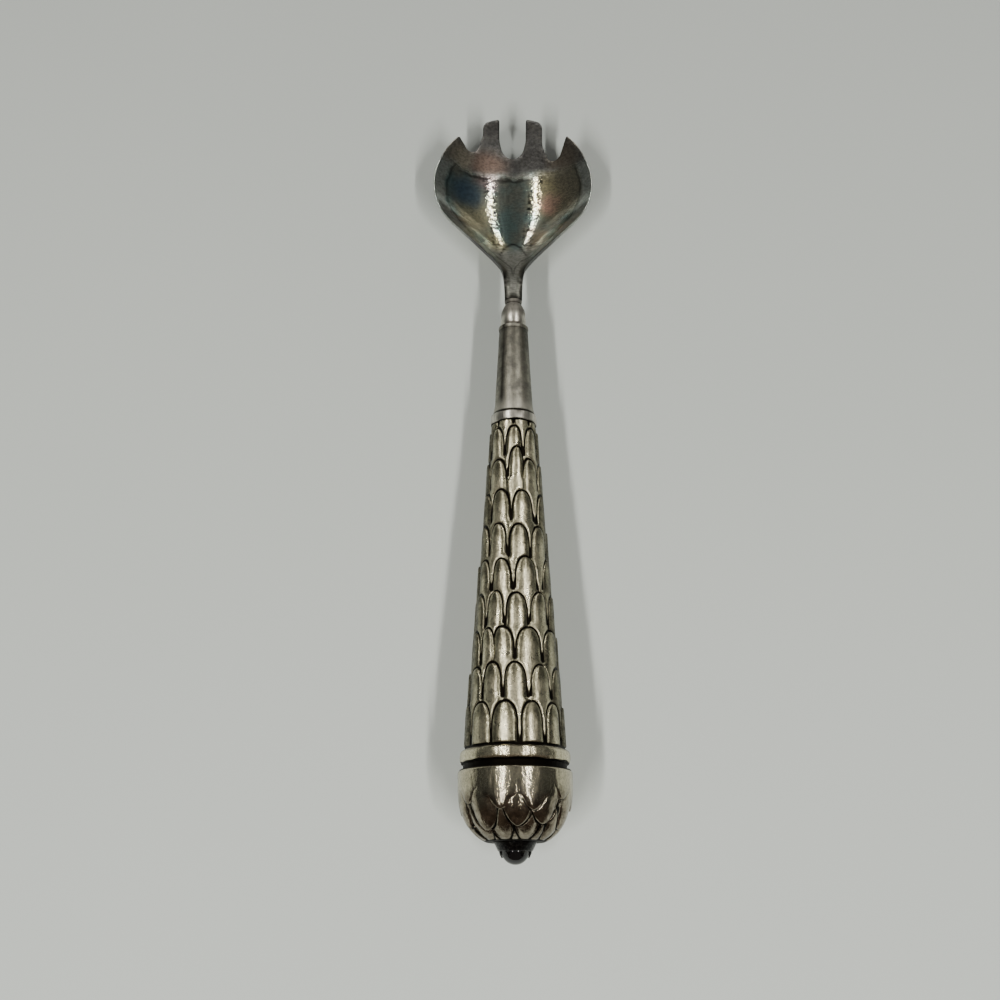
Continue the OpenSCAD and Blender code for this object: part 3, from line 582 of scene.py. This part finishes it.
def chase(along, turn, radius, rows, ground):
    """Works rows of arches into a skin, each over the last; gives rise, oxide, and crown wear and painted
    highlight.
    """
    rise, oxide, wear = np.full(len(along), ground), np.zeros(len(along)), np.zeros(len(along))
    for row in rows:
        bodies, cut = [], np.zeros(len(along))
        for s in row:
            off = (turn - s["middle"] + np.pi) % (2 * np.pi) - np.pi
            back = s["tip"] - along
            beside = np.abs(off) < 1.7 * max(s["left"], s["right"])
            near = np.nonzero(beside & (back > -2.5) & (back < s["body"]))[0]
            off, back = off[near], back[near]
            # The arch is drawn in shares of its half width and nose, and d is the distance outside it in mm.
            across = off * radius[near] + s["lean"] * back
            gap = np.where(across < 0, s["left"], s["right"]) * radius[near]
            wide = gap * (s["fill"] + (1.04 - s["fill"]) * ease((back - s["leg"]) / 1.8))
            u, v = across / wide, np.clip(s["nose"] - back, 0, 99) / s["nose"]
            p = s["point"]
            f = (np.abs(u) ** p + v ** p) ** (1 / p) + 1e-6
            steep = np.hypot(np.abs(u) ** (p - 1) / wide, v ** (p - 1) / s["nose"])
            d = (f - 1) * f ** (p - 1) / (steep + 1e-6)
            inside = ease(0.5 - d / edge_soft)
            pillow = pillow_high * np.exp(np.clip(d, -9, 0) / pillow_reach)
            crown = s["crown"] * (1 - 0.5 * ease((back - s["leg"]) / 3))
            crown = crown * np.clip(np.abs(u), 0, 1.2) ** crown_power
            body = s["high"] - s["slope"] * back - crown + s["tilt"] * u - pillow
            # The chased line starts fine at the nose and ends in a broad tear at the foot of the leg.
            tear = s["drop"] * ease((back - 0.6 * s["leg"]) / (0.4 * s["leg"]))
            spread = s["line"] * (1 - 0.3 * ease(back / 4) + tear)
            groove = np.exp(-((d - 0.9 * spread) / spread) ** 2) * (1 - ease((back - s["leg"]) / 1.2))
            cut[near] = np.maximum(cut[near], groove)
            crest = (1 - np.clip(np.abs(u), 0, 1) ** 2) * (0.3 + 0.7 * ease((back - 1) / 6))
            bodies.append((near, inside, body, crest))
        rise -= line_deep * cut
        oxide = np.maximum(oxide, cut)
        for near, inside, body, crest in bodies:
            rise[near] = rise[near] * (1 - inside) + body * inside
            oxide[near] *= 1 - inside
            wear[near] = wear[near] * (1 - inside) + crest * inside
    return rise, oxide, wear


scale_rows = []
for row, seen in enumerate(seen_scales):
    count = round(most_scales - (most_scales - fewest_scales) * min(row, 8) / 8)
    spare = count - len(seen)
    gap = (360 - (seen[-1] - seen[0])) / (spare + 1)
    middles = seen + [seen[-1] + gap * (j + 1) + chance.uniform(-4, 4) for j in range(spare)]
    narrowest, widest = 0.75 * math.pi / count, 1.2 * math.pi / count
    scales = []
    for i, middle_angle in enumerate(middles):
        right = math.radians((middles[(i + 1) % count] - middle_angle) % 360) / 2
        left = math.radians((middle_angle - middles[i - 1]) % 360) / 2
        tip = sleeve_low + first_tip + row * row_pitch + chance.uniform(-0.5, 0.5)
        tip += high_by if (row, i) == high_scale else 0
        scales.append({"tip": tip, "middle": math.radians(middle_angle), "lean": chance.uniform(-0.03, 0.03),
                       "left": min(max(left, narrowest), widest), "right": min(max(right, narrowest), widest),
                       "fill": chance.uniform(0.73, 0.86), "nose": chance.uniform(5.4, 6.6),
                       "leg": first_tip if row == 0 else chance.uniform(9.2, 10.6), "body": 2.1 * row_pitch,
                       "high": 0.52, "slope": 0.032, "point": 2.0, "crown": chance.uniform(0.3, 0.45),
                       "line": chance.uniform(0.36, 0.52), "drop": chance.uniform(0.8, 1.8),
                       "tilt": chance.uniform(-0.15, 0.15)})
    scale_rows.insert(0, scales)

outer = [(cone_at(a), a) for a in np.linspace(sleeve_low, band_low, 400)]
inner = [(cone_at(a) - sheet_sink, a) for a in np.linspace(band_low, sleeve_low, 9)]
sleeve = turned("sleeve", outer + inner, [0] * (len(outer) + len(inner)), steps=400)
r, turn, a = axis_spots(sleeve)
on_skin = r > cone_at(a) - sheet_sink / 2
rise, oxide, wear = np.zeros((3, len(r)))
rise[on_skin], oxide[on_skin], wear[on_skin] = chase(a[on_skin], turn[on_skin], r[on_skin],
                                                     scale_rows, -0.1)
# Both ends dip under the ring and the band, where the oxide is thickest.
ends = np.maximum(ease((sleeve_low + 0.9 - a) / 0.7), ease((a - band_low + 0.35) / 0.3))
rise = np.minimum(rise, scale_limit) * (1 - ends) - end_dip * ends
# Painted shade on the sides, which mirror the shadowed floor: less bright crown tone and a broken black.
wear = wear * (0.35 + 0.65 * ease((np.abs(np.cos(turn)) - 0.35) / 0.4))
oxide = np.maximum(np.maximum(oxide, ends), 0.42 * ease((np.abs(np.sin(turn)) - 0.75) / 0.2))
r = r + np.where(on_skin, rise, 0)
move_points(sleeve, np.column_stack([r * np.sin(turn), a, axis_z + r * np.cos(turn)]))
mark(sleeve, oxide=np.where(on_skin, oxide, 0), wear=wear)

# Chased silver plate: stamped sheet with a worn shine on the crowns of the scales, partly a painted
# highlight, a warm yellow cast that clears to brown-grey where it is polished, fine pits, and dead black
# sulphide left in every chased line; the same black is laid as painted shade on the handle's sides and the
# leaves by the stone.
chased, tree, place = new_finish("chased_silver_plate")
stain = add_node(tree, "TexNoise", {"Vector": place, "Scale": 1 / (3 * MM), "Detail": 6.0, "Roughness": 0.7})
tone = add_node(tree, "ValToRGB", {"Fac": stain},
                stops=[(0.0, "#3d3a30"), (0.42, "#6d6958"), (0.58, "#9a957d"), (1.0, "#d0cab0")])
clear = add_node(tree, "ValToRGB", {"Fac": stain},
                 stops=[(0.0, "#3c362d"), (0.42, "#766d5f"), (0.58, "#9d9484"), (1.0, "#cfc8b8")])
polish = add_node(tree, "Attribute", out="Fac", attribute_name="polish")
tone = add_node(tree, "Mix", {0: polish, 6: tone, 7: clear}, **in_colour)
worn = add_node(tree, "Attribute", out="Fac", attribute_name="wear")
rubbed_and_highlight = add_node(tree, "MapRange", {"Value": worn, "From Min": 0.35, "From Max": 0.95, "To Max": 0.7},
                  **softly)
tone = add_node(tree, "Mix", {0: rubbed_and_highlight, 6: tone, 7: linear("#e8dfc0")}, **in_colour)
pits = add_node(tree, "TexNoise", {"Vector": place, "Scale": 1 / (0.7 * MM), "Detail": 4.0, "Roughness": 0.7})
speck = add_node(tree, "MapRange", {"Value": pits, "From Min": 0.36, "From Max": 0.56, "To Min": 0.6,
                                    "To Max": 1.05})
tone = add_node(tree, "Mix", {0: 1.0, 6: tone, 7: speck}, blend_type="MULTIPLY", **in_colour)
lines = add_node(tree, "Attribute", out="Fac", attribute_name="oxide")
ragged = add_node(tree, "Math", {0: pits, 1: 0.7, 2: -0.35}, operation="MULTIPLY_ADD")
ragged = add_node(tree, "Math", {0: lines, 1: ragged}, operation="ADD")
black = add_node(tree, "MapRange", {"Value": ragged, "From Min": 0.2, "From Max": 0.65}, **softly)
tone = add_node(tree, "Mix", {0: black, 6: tone, 7: linear("#14110d")}, **in_colour)
dull = add_node(tree, "MapRange", {"Value": stain, "From Min": 0.3, "From Max": 0.7, "To Min": 0.44,
                                   "To Max": 0.2})
dull = add_node(tree, "Mix", {0: polish, 2: dull, 3: 0.17}, data_type="FLOAT")
dull = add_node(tree, "Mix", {0: black, 2: dull, 3: 0.6}, data_type="FLOAT")
drawn = add_node(tree, "Mapping", {"Vector": place, "Scale": [1 / (d * MM) for d in (2.2, 5, 2.2)]})
dents = add_node(tree, "TexNoise", {"Vector": drawn, "Scale": 1.0, "Detail": 4.0})
relief = add_node(tree, "Bump", {"Height": dents, "Strength": 0.7, "Distance": 0.3 * MM})
pitted = add_node(tree, "MapRange", {"Value": polish, "To Min": 0.4, "To Max": 0.1})
relief = add_node(tree, "Bump", {"Height": pits, "Strength": pitted, "Distance": 0.06 * MM, "Normal": relief})
skin = add_node(tree, "BsdfPrincipled", {"Base Color": tone, "Metallic": 1.0, "Roughness": dull,
                                         "Normal": relief})
add_node(tree, "OutputMaterial", {"Surface": skin})

for name, facing in (("handle_shell_front", 1), ("handle_shell_back", -1)):
    pick(sleeve)
    bpy.ops.object.duplicate(linked=False)
    shell = bpy.context.object
    shell.name = shell.data.name = name + "_chased"
    bpy.ops.object.mode_set(mode="EDIT")
    bpy.ops.mesh.select_all(action="SELECT")
    bpy.ops.mesh.bisect(plane_co=(0, 0, axis_z * MM), plane_no=(0, 0, facing), clear_inner=True,
                        use_fill=True, threshold=0.001 * MM)
    bpy.ops.object.mode_set(mode="OBJECT")
    bpy.ops.object.shade_smooth_by_angle(angle=math.radians(60))
    shell.data.materials.append(chased)
    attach(shell, "root")
    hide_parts(name)
bpy.data.objects.remove(sleeve)

# Filler core
# Brown resin poured round the tang, which fills the handle from the ferrule to the pommel. It is the solid
# from the frame, hidden inside the shells.
# Cast shellac resin: glossy dark brown with cloudy flow streaks and small trapped bubbles.
resin, tree, place = new_finish("cast_shellac_resin")
flow = add_node(tree, "TexNoise", {"Vector": place, "Scale": 1 / (6 * MM), "Detail": 3.0, "Distortion": 1.5})
tone = add_node(tree, "ValToRGB", {"Fac": flow}, stops=[(0.0, "#241710"), (0.5, "#3d281a"), (1.0, "#5c3d26")])
bubbles = add_node(tree, "TexVoronoi", {"Vector": place, "Scale": 1 / (1.5 * MM)}, out="Distance")
relief = add_node(tree, "Bump", {"Height": bubbles, "Strength": 0.2, "Distance": 0.1 * MM})
skin = add_node(tree, "BsdfPrincipled", {"Base Color": tone, "Roughness": 0.35, "IOR": 1.52,
                                         "Normal": relief})
add_node(tree, "OutputMaterial", {"Surface": skin})
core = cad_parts["filler_core"]
core.data.materials.clear()
core.data.materials.append(resin)

# Pommel ring
# A half-round moulding turned on the end of a brass tube, over a groove that black oxide fills. Its two
# spigots plug the handle and the pommel cap.
ring_wide, groove_wide, groove_r, spigot_len, fit_gap = 4.0, 2.3, 15.75, 4, 0.05
bead_high, bead_half, bead_middle, bead_lip, groove_lip = 1.2, 2.1, 1.5, 15.6, 15.8
cap_r, cap_wall = 17.2, 2.0
ring_low = sleeve_low - ring_wide
cap_end = ring_low - groove_wide
spigot_r = sleeve_wide - sheet_sink - fit_gap
ring_bore = spigot_r - 1.2
cap_spigot = cap_r - cap_wall - fit_gap
slope = (sleeve_wide - sleeve_narrow) / sleeve_len
bead = [(groove_r + bead_high * math.cos(t) ** 0.7, ring_low + bead_middle + bead_half * math.sin(t))
        for t in np.radians(np.linspace(-86, 86, 30))]
ring_line = [(ring_bore, cap_end - spigot_len), (cap_spigot, cap_end - spigot_len), (cap_spigot, cap_end),
             (groove_lip, cap_end)] + bead \
    + [(bead_lip, sleeve_low), (spigot_r, sleeve_low),
       (spigot_r - slope * spigot_len, sleeve_low + spigot_len), (ring_bore, sleeve_low + spigot_len)]
ring = turned("pommel_ring_turned", ring_line, [0.2, 0.2, 0, 0.1] + [0] * len(bead) + [0.1, 0, 0.2, 0.2],
              steps=160)
r, turn, a = axis_spots(ring)
wander = 0.12 * np.sin(turn * 7) + 0.1 * np.sin(turn * 17 + 1)
edge = np.maximum(ease((ring_low + 0.2 + wander - a) / 0.5), ease((a - sleeve_low + 0.75 + wander) / 0.5))
mark(ring, oxide=edge, wear=ease((r - 16.4) / 0.5), polish=np.full(len(r), 0.5))
ring.data.materials.append(chased)
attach(ring, "root")
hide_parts("pommel_ring")

# Pommel cap
# A dome stamped from brass sheet with three rows of leaves that point at the stone, chased and silver plated
# like the handle. It is pressed over the ring's lower spigot, and the setting's stem passes through it.
cap_len, cap_shoulder, cap_square, cap_seat, stem_hole = 21.1, 3.6, 2.6, 9.0, 2.05
leaves_a_row, leaf_limit, plain_rise, cap_end_dip = 10, 0.46, 0.3, 0.1
setting_seat = cap_end - cap_len
cap_middle = cap_end - cap_shoulder
cap_reach = (cap_len - cap_shoulder) / (1 - (cap_seat / cap_r) ** cap_square) ** (1 / cap_square)
cap_turn = math.asin(((cap_len - cap_shoulder) / cap_reach) ** (cap_square / 2))
cap_line = [(cap_r, cap_end - cap_shoulder * t) for t in np.linspace(0, 1, 14, endpoint=False)]
cap_line += [(cap_r * math.cos(t * cap_turn) ** (2 / cap_square),
              cap_middle - cap_reach * math.sin(t * cap_turn) ** (2 / cap_square))
             for t in np.linspace(0, 1, 120)]
cap_line = np.array(cap_line)
cap_run = np.concatenate([[0], np.cumsum(np.hypot(*np.diff(cap_line, axis=0).T))])
even_run = np.linspace(0, cap_run[-1], 130)
cap_line = np.column_stack([np.interp(even_run, cap_run, cap_line[:, k]) for k in (0, 1)])
cap_face = np.gradient(cap_line, axis=0)
cap_face = np.column_stack([-cap_face[:, 1], cap_face[:, 0]]) / np.hypot(*cap_face.T)[:, None]
cavity_r, cavity_reach = cap_r - cap_wall, cap_reach - cap_wall
cavity_line = [(cavity_r * (1 - (max(0, cap_middle - a) / cavity_reach) ** cap_square) ** (1 / cap_square), a)
               for a in np.linspace(setting_seat + cap_wall, cap_end, 20)]
stem_line = [(stem_hole, setting_seat), (stem_hole, setting_seat + cap_wall)]
cap_profile = [tuple(p) for p in cap_line] + stem_line + cavity_line
cap = turned("pommel_cap_chased", cap_profile, [0] * len(cap_profile), steps=320)
r, turn, a = axis_spots(cap)
miss = np.hypot(r[:, None] - cap_line[:, 0], a[:, None] - cap_line[:, 1])
nearest = miss.argmin(1)
on_skin = miss.min(1) < 0.005
run_at = even_run[nearest]
leaf_rows = []
for tip_share, stray, offset, fill, nose, leg, high, crown, line, faintest in (
        (1.02, 0.9, 18, 0.84, 6.0, 8.0, 0.0, 0.9, 0.42, 0.6),
        (0.75, 1.2, 0, 0.88, 6.0, 8.0, 0.36, 1.0, 0.5, 0.6),
        (0.48, 2.4, 18, 0.7, 5.5, 3.0, 0.4, 0.5, 0.2, -1.0)):
    leaf_rows.append([
        {"tip": even_run[-1] * tip_share + chance.uniform(-stray, stray), "lean": chance.uniform(-0.08, 0.08),
         "middle": math.radians(offset + 360 / leaves_a_row * i + chance.uniform(-4, 4)),
         "left": math.pi / leaves_a_row, "right": math.pi / leaves_a_row, "fill": fill, "nose": nose,
         "leg": leg * chance.uniform(0.8, 1.1), "body": 99.0, "high": high, "slope": 0.02,
         "point": 1.65 + 0.1 * (i % 4), "crown": crown * chance.uniform(0.8, 1.1),
         "line": max(0.03, line * chance.uniform(faintest, 1.4)), "drop": chance.uniform(0.3, 1.2),
         "tilt": chance.uniform(-0.15, 0.15)} for i in range(leaves_a_row)])
rise, oxide, wear = np.zeros((3, len(r)))
rise[on_skin], oxide[on_skin], wear[on_skin] = chase(run_at[on_skin], turn[on_skin], r[on_skin],
                                                     leaf_rows, 0.0)
# The dome is plain where it leaves the ring, and dips under the stone's cup.
plain = 1 - ease((run_at - 3) / 11)
ends = np.maximum(ease((0.8 - run_at) / 0.7), ease((run_at - even_run[-1] + 1.2) / 1.0))
rise = np.minimum(rise * (1 - plain) + plain_rise * plain, leaf_limit) * (1 - ends) - cap_end_dip * ends
# The leaves next to the stone are darkened as painted shade, for the dark reflection on the lower dome.
low = 0.3 * ease((run_at - 13) / 6)
oxide = np.maximum(np.maximum(oxide * (1 - plain), low), ends)
r = r + np.where(on_skin, rise * cap_face[nearest, 0], 0)
a = a + np.where(on_skin, rise * cap_face[nearest, 1], 0)
move_points(cap, np.column_stack([r * np.sin(turn), a, axis_z + r * np.cos(turn)]))
# The plain top takes the bright rubbed tone, partly wear and partly a painted highlight.
mark(cap, oxide=np.where(on_skin, oxide, 0), wear=0.5 * wear * (1 - plain) + 0.7 * plain,
     polish=1 - 0.3 * plain)
bpy.ops.object.shade_smooth_by_angle(angle=math.radians(60))
cap.data.materials.append(chased)
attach(cap, "root")
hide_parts("pommel_cap")

# Stone setting
# A small turned cup with a stem through the cap. Six claws are filed from its wall and bent over the stone.
# The silver is blackened all over.
stone_r, girdle = 4.3, 1.0
stone_tip = setting_seat - 6.5
cup_bore, cup_wall, cup_foot, cup_base, cup_deep = stone_r + 0.05, 0.8, 6.5, 1.2, 1.4
stem_r, stem_len = 2.0, 1.95
claw_count, claw_half = 6, math.radians(17)
claw_foot, claw_over = math.radians(-12), math.radians(30)
claw_thick, claw_taper, claw_round = 0.75, 0.35, 0.2
cup_floor = setting_seat - cup_base
cup_mouth = setting_seat - cup_base - cup_deep
cup_line = [(0.02, setting_seat + stem_len), (stem_r, setting_seat + stem_len), (stem_r, setting_seat),
            (cup_foot, setting_seat), (cup_bore + cup_wall, cup_mouth), (cup_bore, cup_mouth),
            (cup_bore, cup_floor), (0.02, cup_floor)]
cup = turned("stone_setting_claws", cup_line, [0, 0.2, 0.2, 0.35, 0.25, 0.1, 0.1, 0], steps=96)
pick()
bpy.ops.mesh.primitive_grid_add(x_subdivisions=6, y_subdivisions=10, size=2)
claw = bpy.context.object
wall = claw.modifiers.new("claw", "SOLIDIFY")
wall.thickness, wall.offset = 1.0, -1
bpy.ops.object.modifier_apply(modifier="claw")
# The blank's width, length and thickness become an angle round the stone, a lean over it and a height.
side, up, deep = points_of(claw).T * MM
up = (up + 1) / 2
lean = claw_foot + (claw_over - claw_foot) * up
far = cup_bore + np.where(deep > -0.5, claw_thick - claw_taper * up - claw_round * side ** 2, 0.0)
r, a = far * np.cos(lean), stone_tip + stone_r - far * np.sin(lean)
claws = []
for i in range(claw_count):
    pick(claw)
    bpy.ops.object.duplicate(linked=False)
    claws.append(bpy.context.object)
    angle = math.radians(360 / claw_count * (i + 0.5)) + side * claw_half * np.clip(1 - up ** 1.6, 0.12, 1)
    move_points(claws[-1], np.column_stack([r * np.sin(angle), a, axis_z + r * np.cos(angle)]))
bpy.data.objects.remove(claw)
pick(*claws, cup)
bpy.ops.object.join()
finish_mesh(crease=45)

# Blackened silver: liver of sulphur turns the metal charcoal, with a soft sheen and pale specks that are
# painted glints.
blackened, tree, place = new_finish("blackened_silver")
glint_specks = add_node(tree, "TexNoise", {"Vector": place, "Scale": 1 / (0.8 * MM), "Detail": 4.0,
                                     "Roughness": 0.7})
tone = add_node(tree, "ValToRGB", {"Fac": glint_specks},
                stops=[(0.0, "#141416"), (0.5, "#262627"), (0.62, "#454543"), (1.0, "#a8a59c")])
relief = add_node(tree, "Bump", {"Height": glint_specks, "Strength": 0.8, "Distance": 0.2 * MM})
skin = add_node(tree, "BsdfPrincipled", {"Base Color": tone, "Metallic": 1.0, "Roughness": 0.28,
                                         "Normal": relief})
add_node(tree, "OutputMaterial", {"Surface": skin})
cup.data.materials.clear()
cup.data.materials.append(blackened)
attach(cup, "root")
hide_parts("stone_setting")

# Cabochon
# A round black onyx cut with a high dome and a flat base, polished, held in the cup by the claws.
# The base has a narrow chamfer, so that it seats in the cup's corner.
stone_chamfer = 0.2
stone_middle = (0, (stone_tip + stone_r) * MM, axis_z * MM)
pick()
bpy.ops.mesh.primitive_uv_sphere_add(segments=72, ring_count=48, radius=stone_r * MM,
                                     rotation=(math.pi / 2, 0, 0), location=stone_middle)
stone = bpy.context.object
stone.name = stone.data.name = "cabochon_onyx"
bpy.ops.object.transform_apply(location=True, rotation=True, scale=True)
bpy.ops.object.mode_set(mode="EDIT")
bpy.ops.mesh.select_all(action="SELECT")
bpy.ops.mesh.bisect(plane_co=stone_middle, plane_no=(0, 1, 0), clear_outer=True, use_fill=True)
bpy.ops.mesh.extrude_region_move(TRANSFORM_OT_translate={"value": (0, (girdle - stone_chamfer) * MM, 0)})
bpy.ops.mesh.inset(thickness=stone_chamfer * MM, depth=stone_chamfer * MM)
finish_mesh(crease=40, merge=0.01)

# Black onyx: opaque dyed chalcedony with a glassy polish, faint cloudy banding and a few dull specks.
onyx, tree, place = new_finish("black_onyx")
bands = add_node(tree, "TexNoise", {"Vector": place, "Scale": 1 / (2.5 * MM), "Detail": 3.0})
tone = add_node(tree, "ValToRGB", {"Fac": bands},
                stops=[(0.0, "#060607"), (0.6, "#0b0b0d"), (1.0, "#16161a")])
dull = add_node(tree, "MapRange", {"Value": bands, "To Min": 0.04, "To Max": 0.12})
skin = add_node(tree, "BsdfPrincipled", {"Base Color": tone, "Roughness": dull, "IOR": 1.54})
add_node(tree, "OutputMaterial", {"Surface": skin})
stone.data.materials.append(onyx)
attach(stone, "root")
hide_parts("cabochon")

# Floor, light and camera
# A pale sheet of matt card under the fork, two long strip lights overhead that show in the metal, two shorter
# ones behind the camera that light the card, and the camera above the pommel, looking along the handle.
floor_wide = 16
camera_at, camera_tilt, camera_lens = (-0.0046, -0.1516, 0.4197), math.radians(18.6), 46.8
pick()
bpy.ops.mesh.primitive_plane_add(size=floor_wide)
floor = bpy.context.object
floor.name = floor.data.name = "pale_card_floor"
# Matt card: an even pale grey with the faintest cloudiness.
card, tree, place = new_finish("matt_card")
haze = add_node(tree, "TexNoise", {"Vector": place, "Scale": 1 / (180 * MM), "Detail": 2.0})
tone = add_node(tree, "ValToRGB", {"Fac": haze}, stops=[(0.0, "#cbd2cf"), (1.0, "#d2d8d5")])
skin = add_node(tree, "BsdfPrincipled", {"Base Color": tone, "Roughness": 0.7})
add_node(tree, "OutputMaterial", {"Surface": skin})
floor.data.materials.append(card)

# Each light's place across, its near and far end along the fork and up, its width in metres and its power
for name, across, near_end, far_end, width, power in (
        ("strip_light_left", -0.52, (-0.5, 1.25), (2.2, 0.45), 0.03, 16.5),
        ("strip_light_right", 0.5, (-0.5, 1.25), (2.2, 0.45), 0.03, 15.0),
        ("card_light_left", -0.6, (-1.5, 1.2), (-0.4, 1.2), 0.05, 22.0),
        ("card_light_right", 0.56, (-1.5, 1.2), (-0.4, 1.2), 0.05, 21.0)):
    near_end, far_end = Vector((across, *near_end)), Vector((across, *far_end))
    centre, length = (near_end + far_end) / 2, (far_end - near_end).length
    run = (far_end - near_end) / length
    away = centre - run * centre.dot(run)
    away.normalize()
    bpy.ops.object.light_add(type="AREA", location=centre,
                             rotation=Matrix((run.cross(away), run, away)).transposed().to_euler())
    lamp = bpy.context.object
    lamp.name = lamp.data.name = name
    lamp.data.shape, lamp.data.size, lamp.data.size_y = "RECTANGLE", width, length
    lamp.data.energy = power
    lamp.data.color = linear("#fffdf6")[:3]
    lamp.visible_diffuse, lamp.visible_glossy = name.startswith("card"), name.startswith("strip")

# The room is pale grey, and browner behind the camera.
room = bpy.context.scene.world or bpy.data.worlds.new("soft_room")
bpy.context.scene.world = room
room.use_nodes = True
tree = room.node_tree
tree.nodes.clear()
facing = add_node(tree, "TexCoord", out="Generated")
facing = add_node(tree, "SeparateXYZ", {0: facing}, out="Y")
depth = add_node(tree, "MapRange", {"Value": facing, "From Min": -1.0, "From Max": 1.0})
tone = add_node(tree, "ValToRGB", {"Fac": depth},
                stops=[(0.0, "#857569"), (0.25, "#857569"), (0.46, "#747775"), (1.0, "#747775")])
glow = add_node(tree, "Background", {"Color": tone, "Strength": 0.45})
add_node(tree, "OutputWorld", {"Surface": glow})

bpy.ops.object.camera_add(location=camera_at, rotation=(camera_tilt, 0, 0))
camera = bpy.context.object
camera.data.lens, camera.data.sensor_width = camera_lens, 36.0
bpy.context.scene.camera = camera
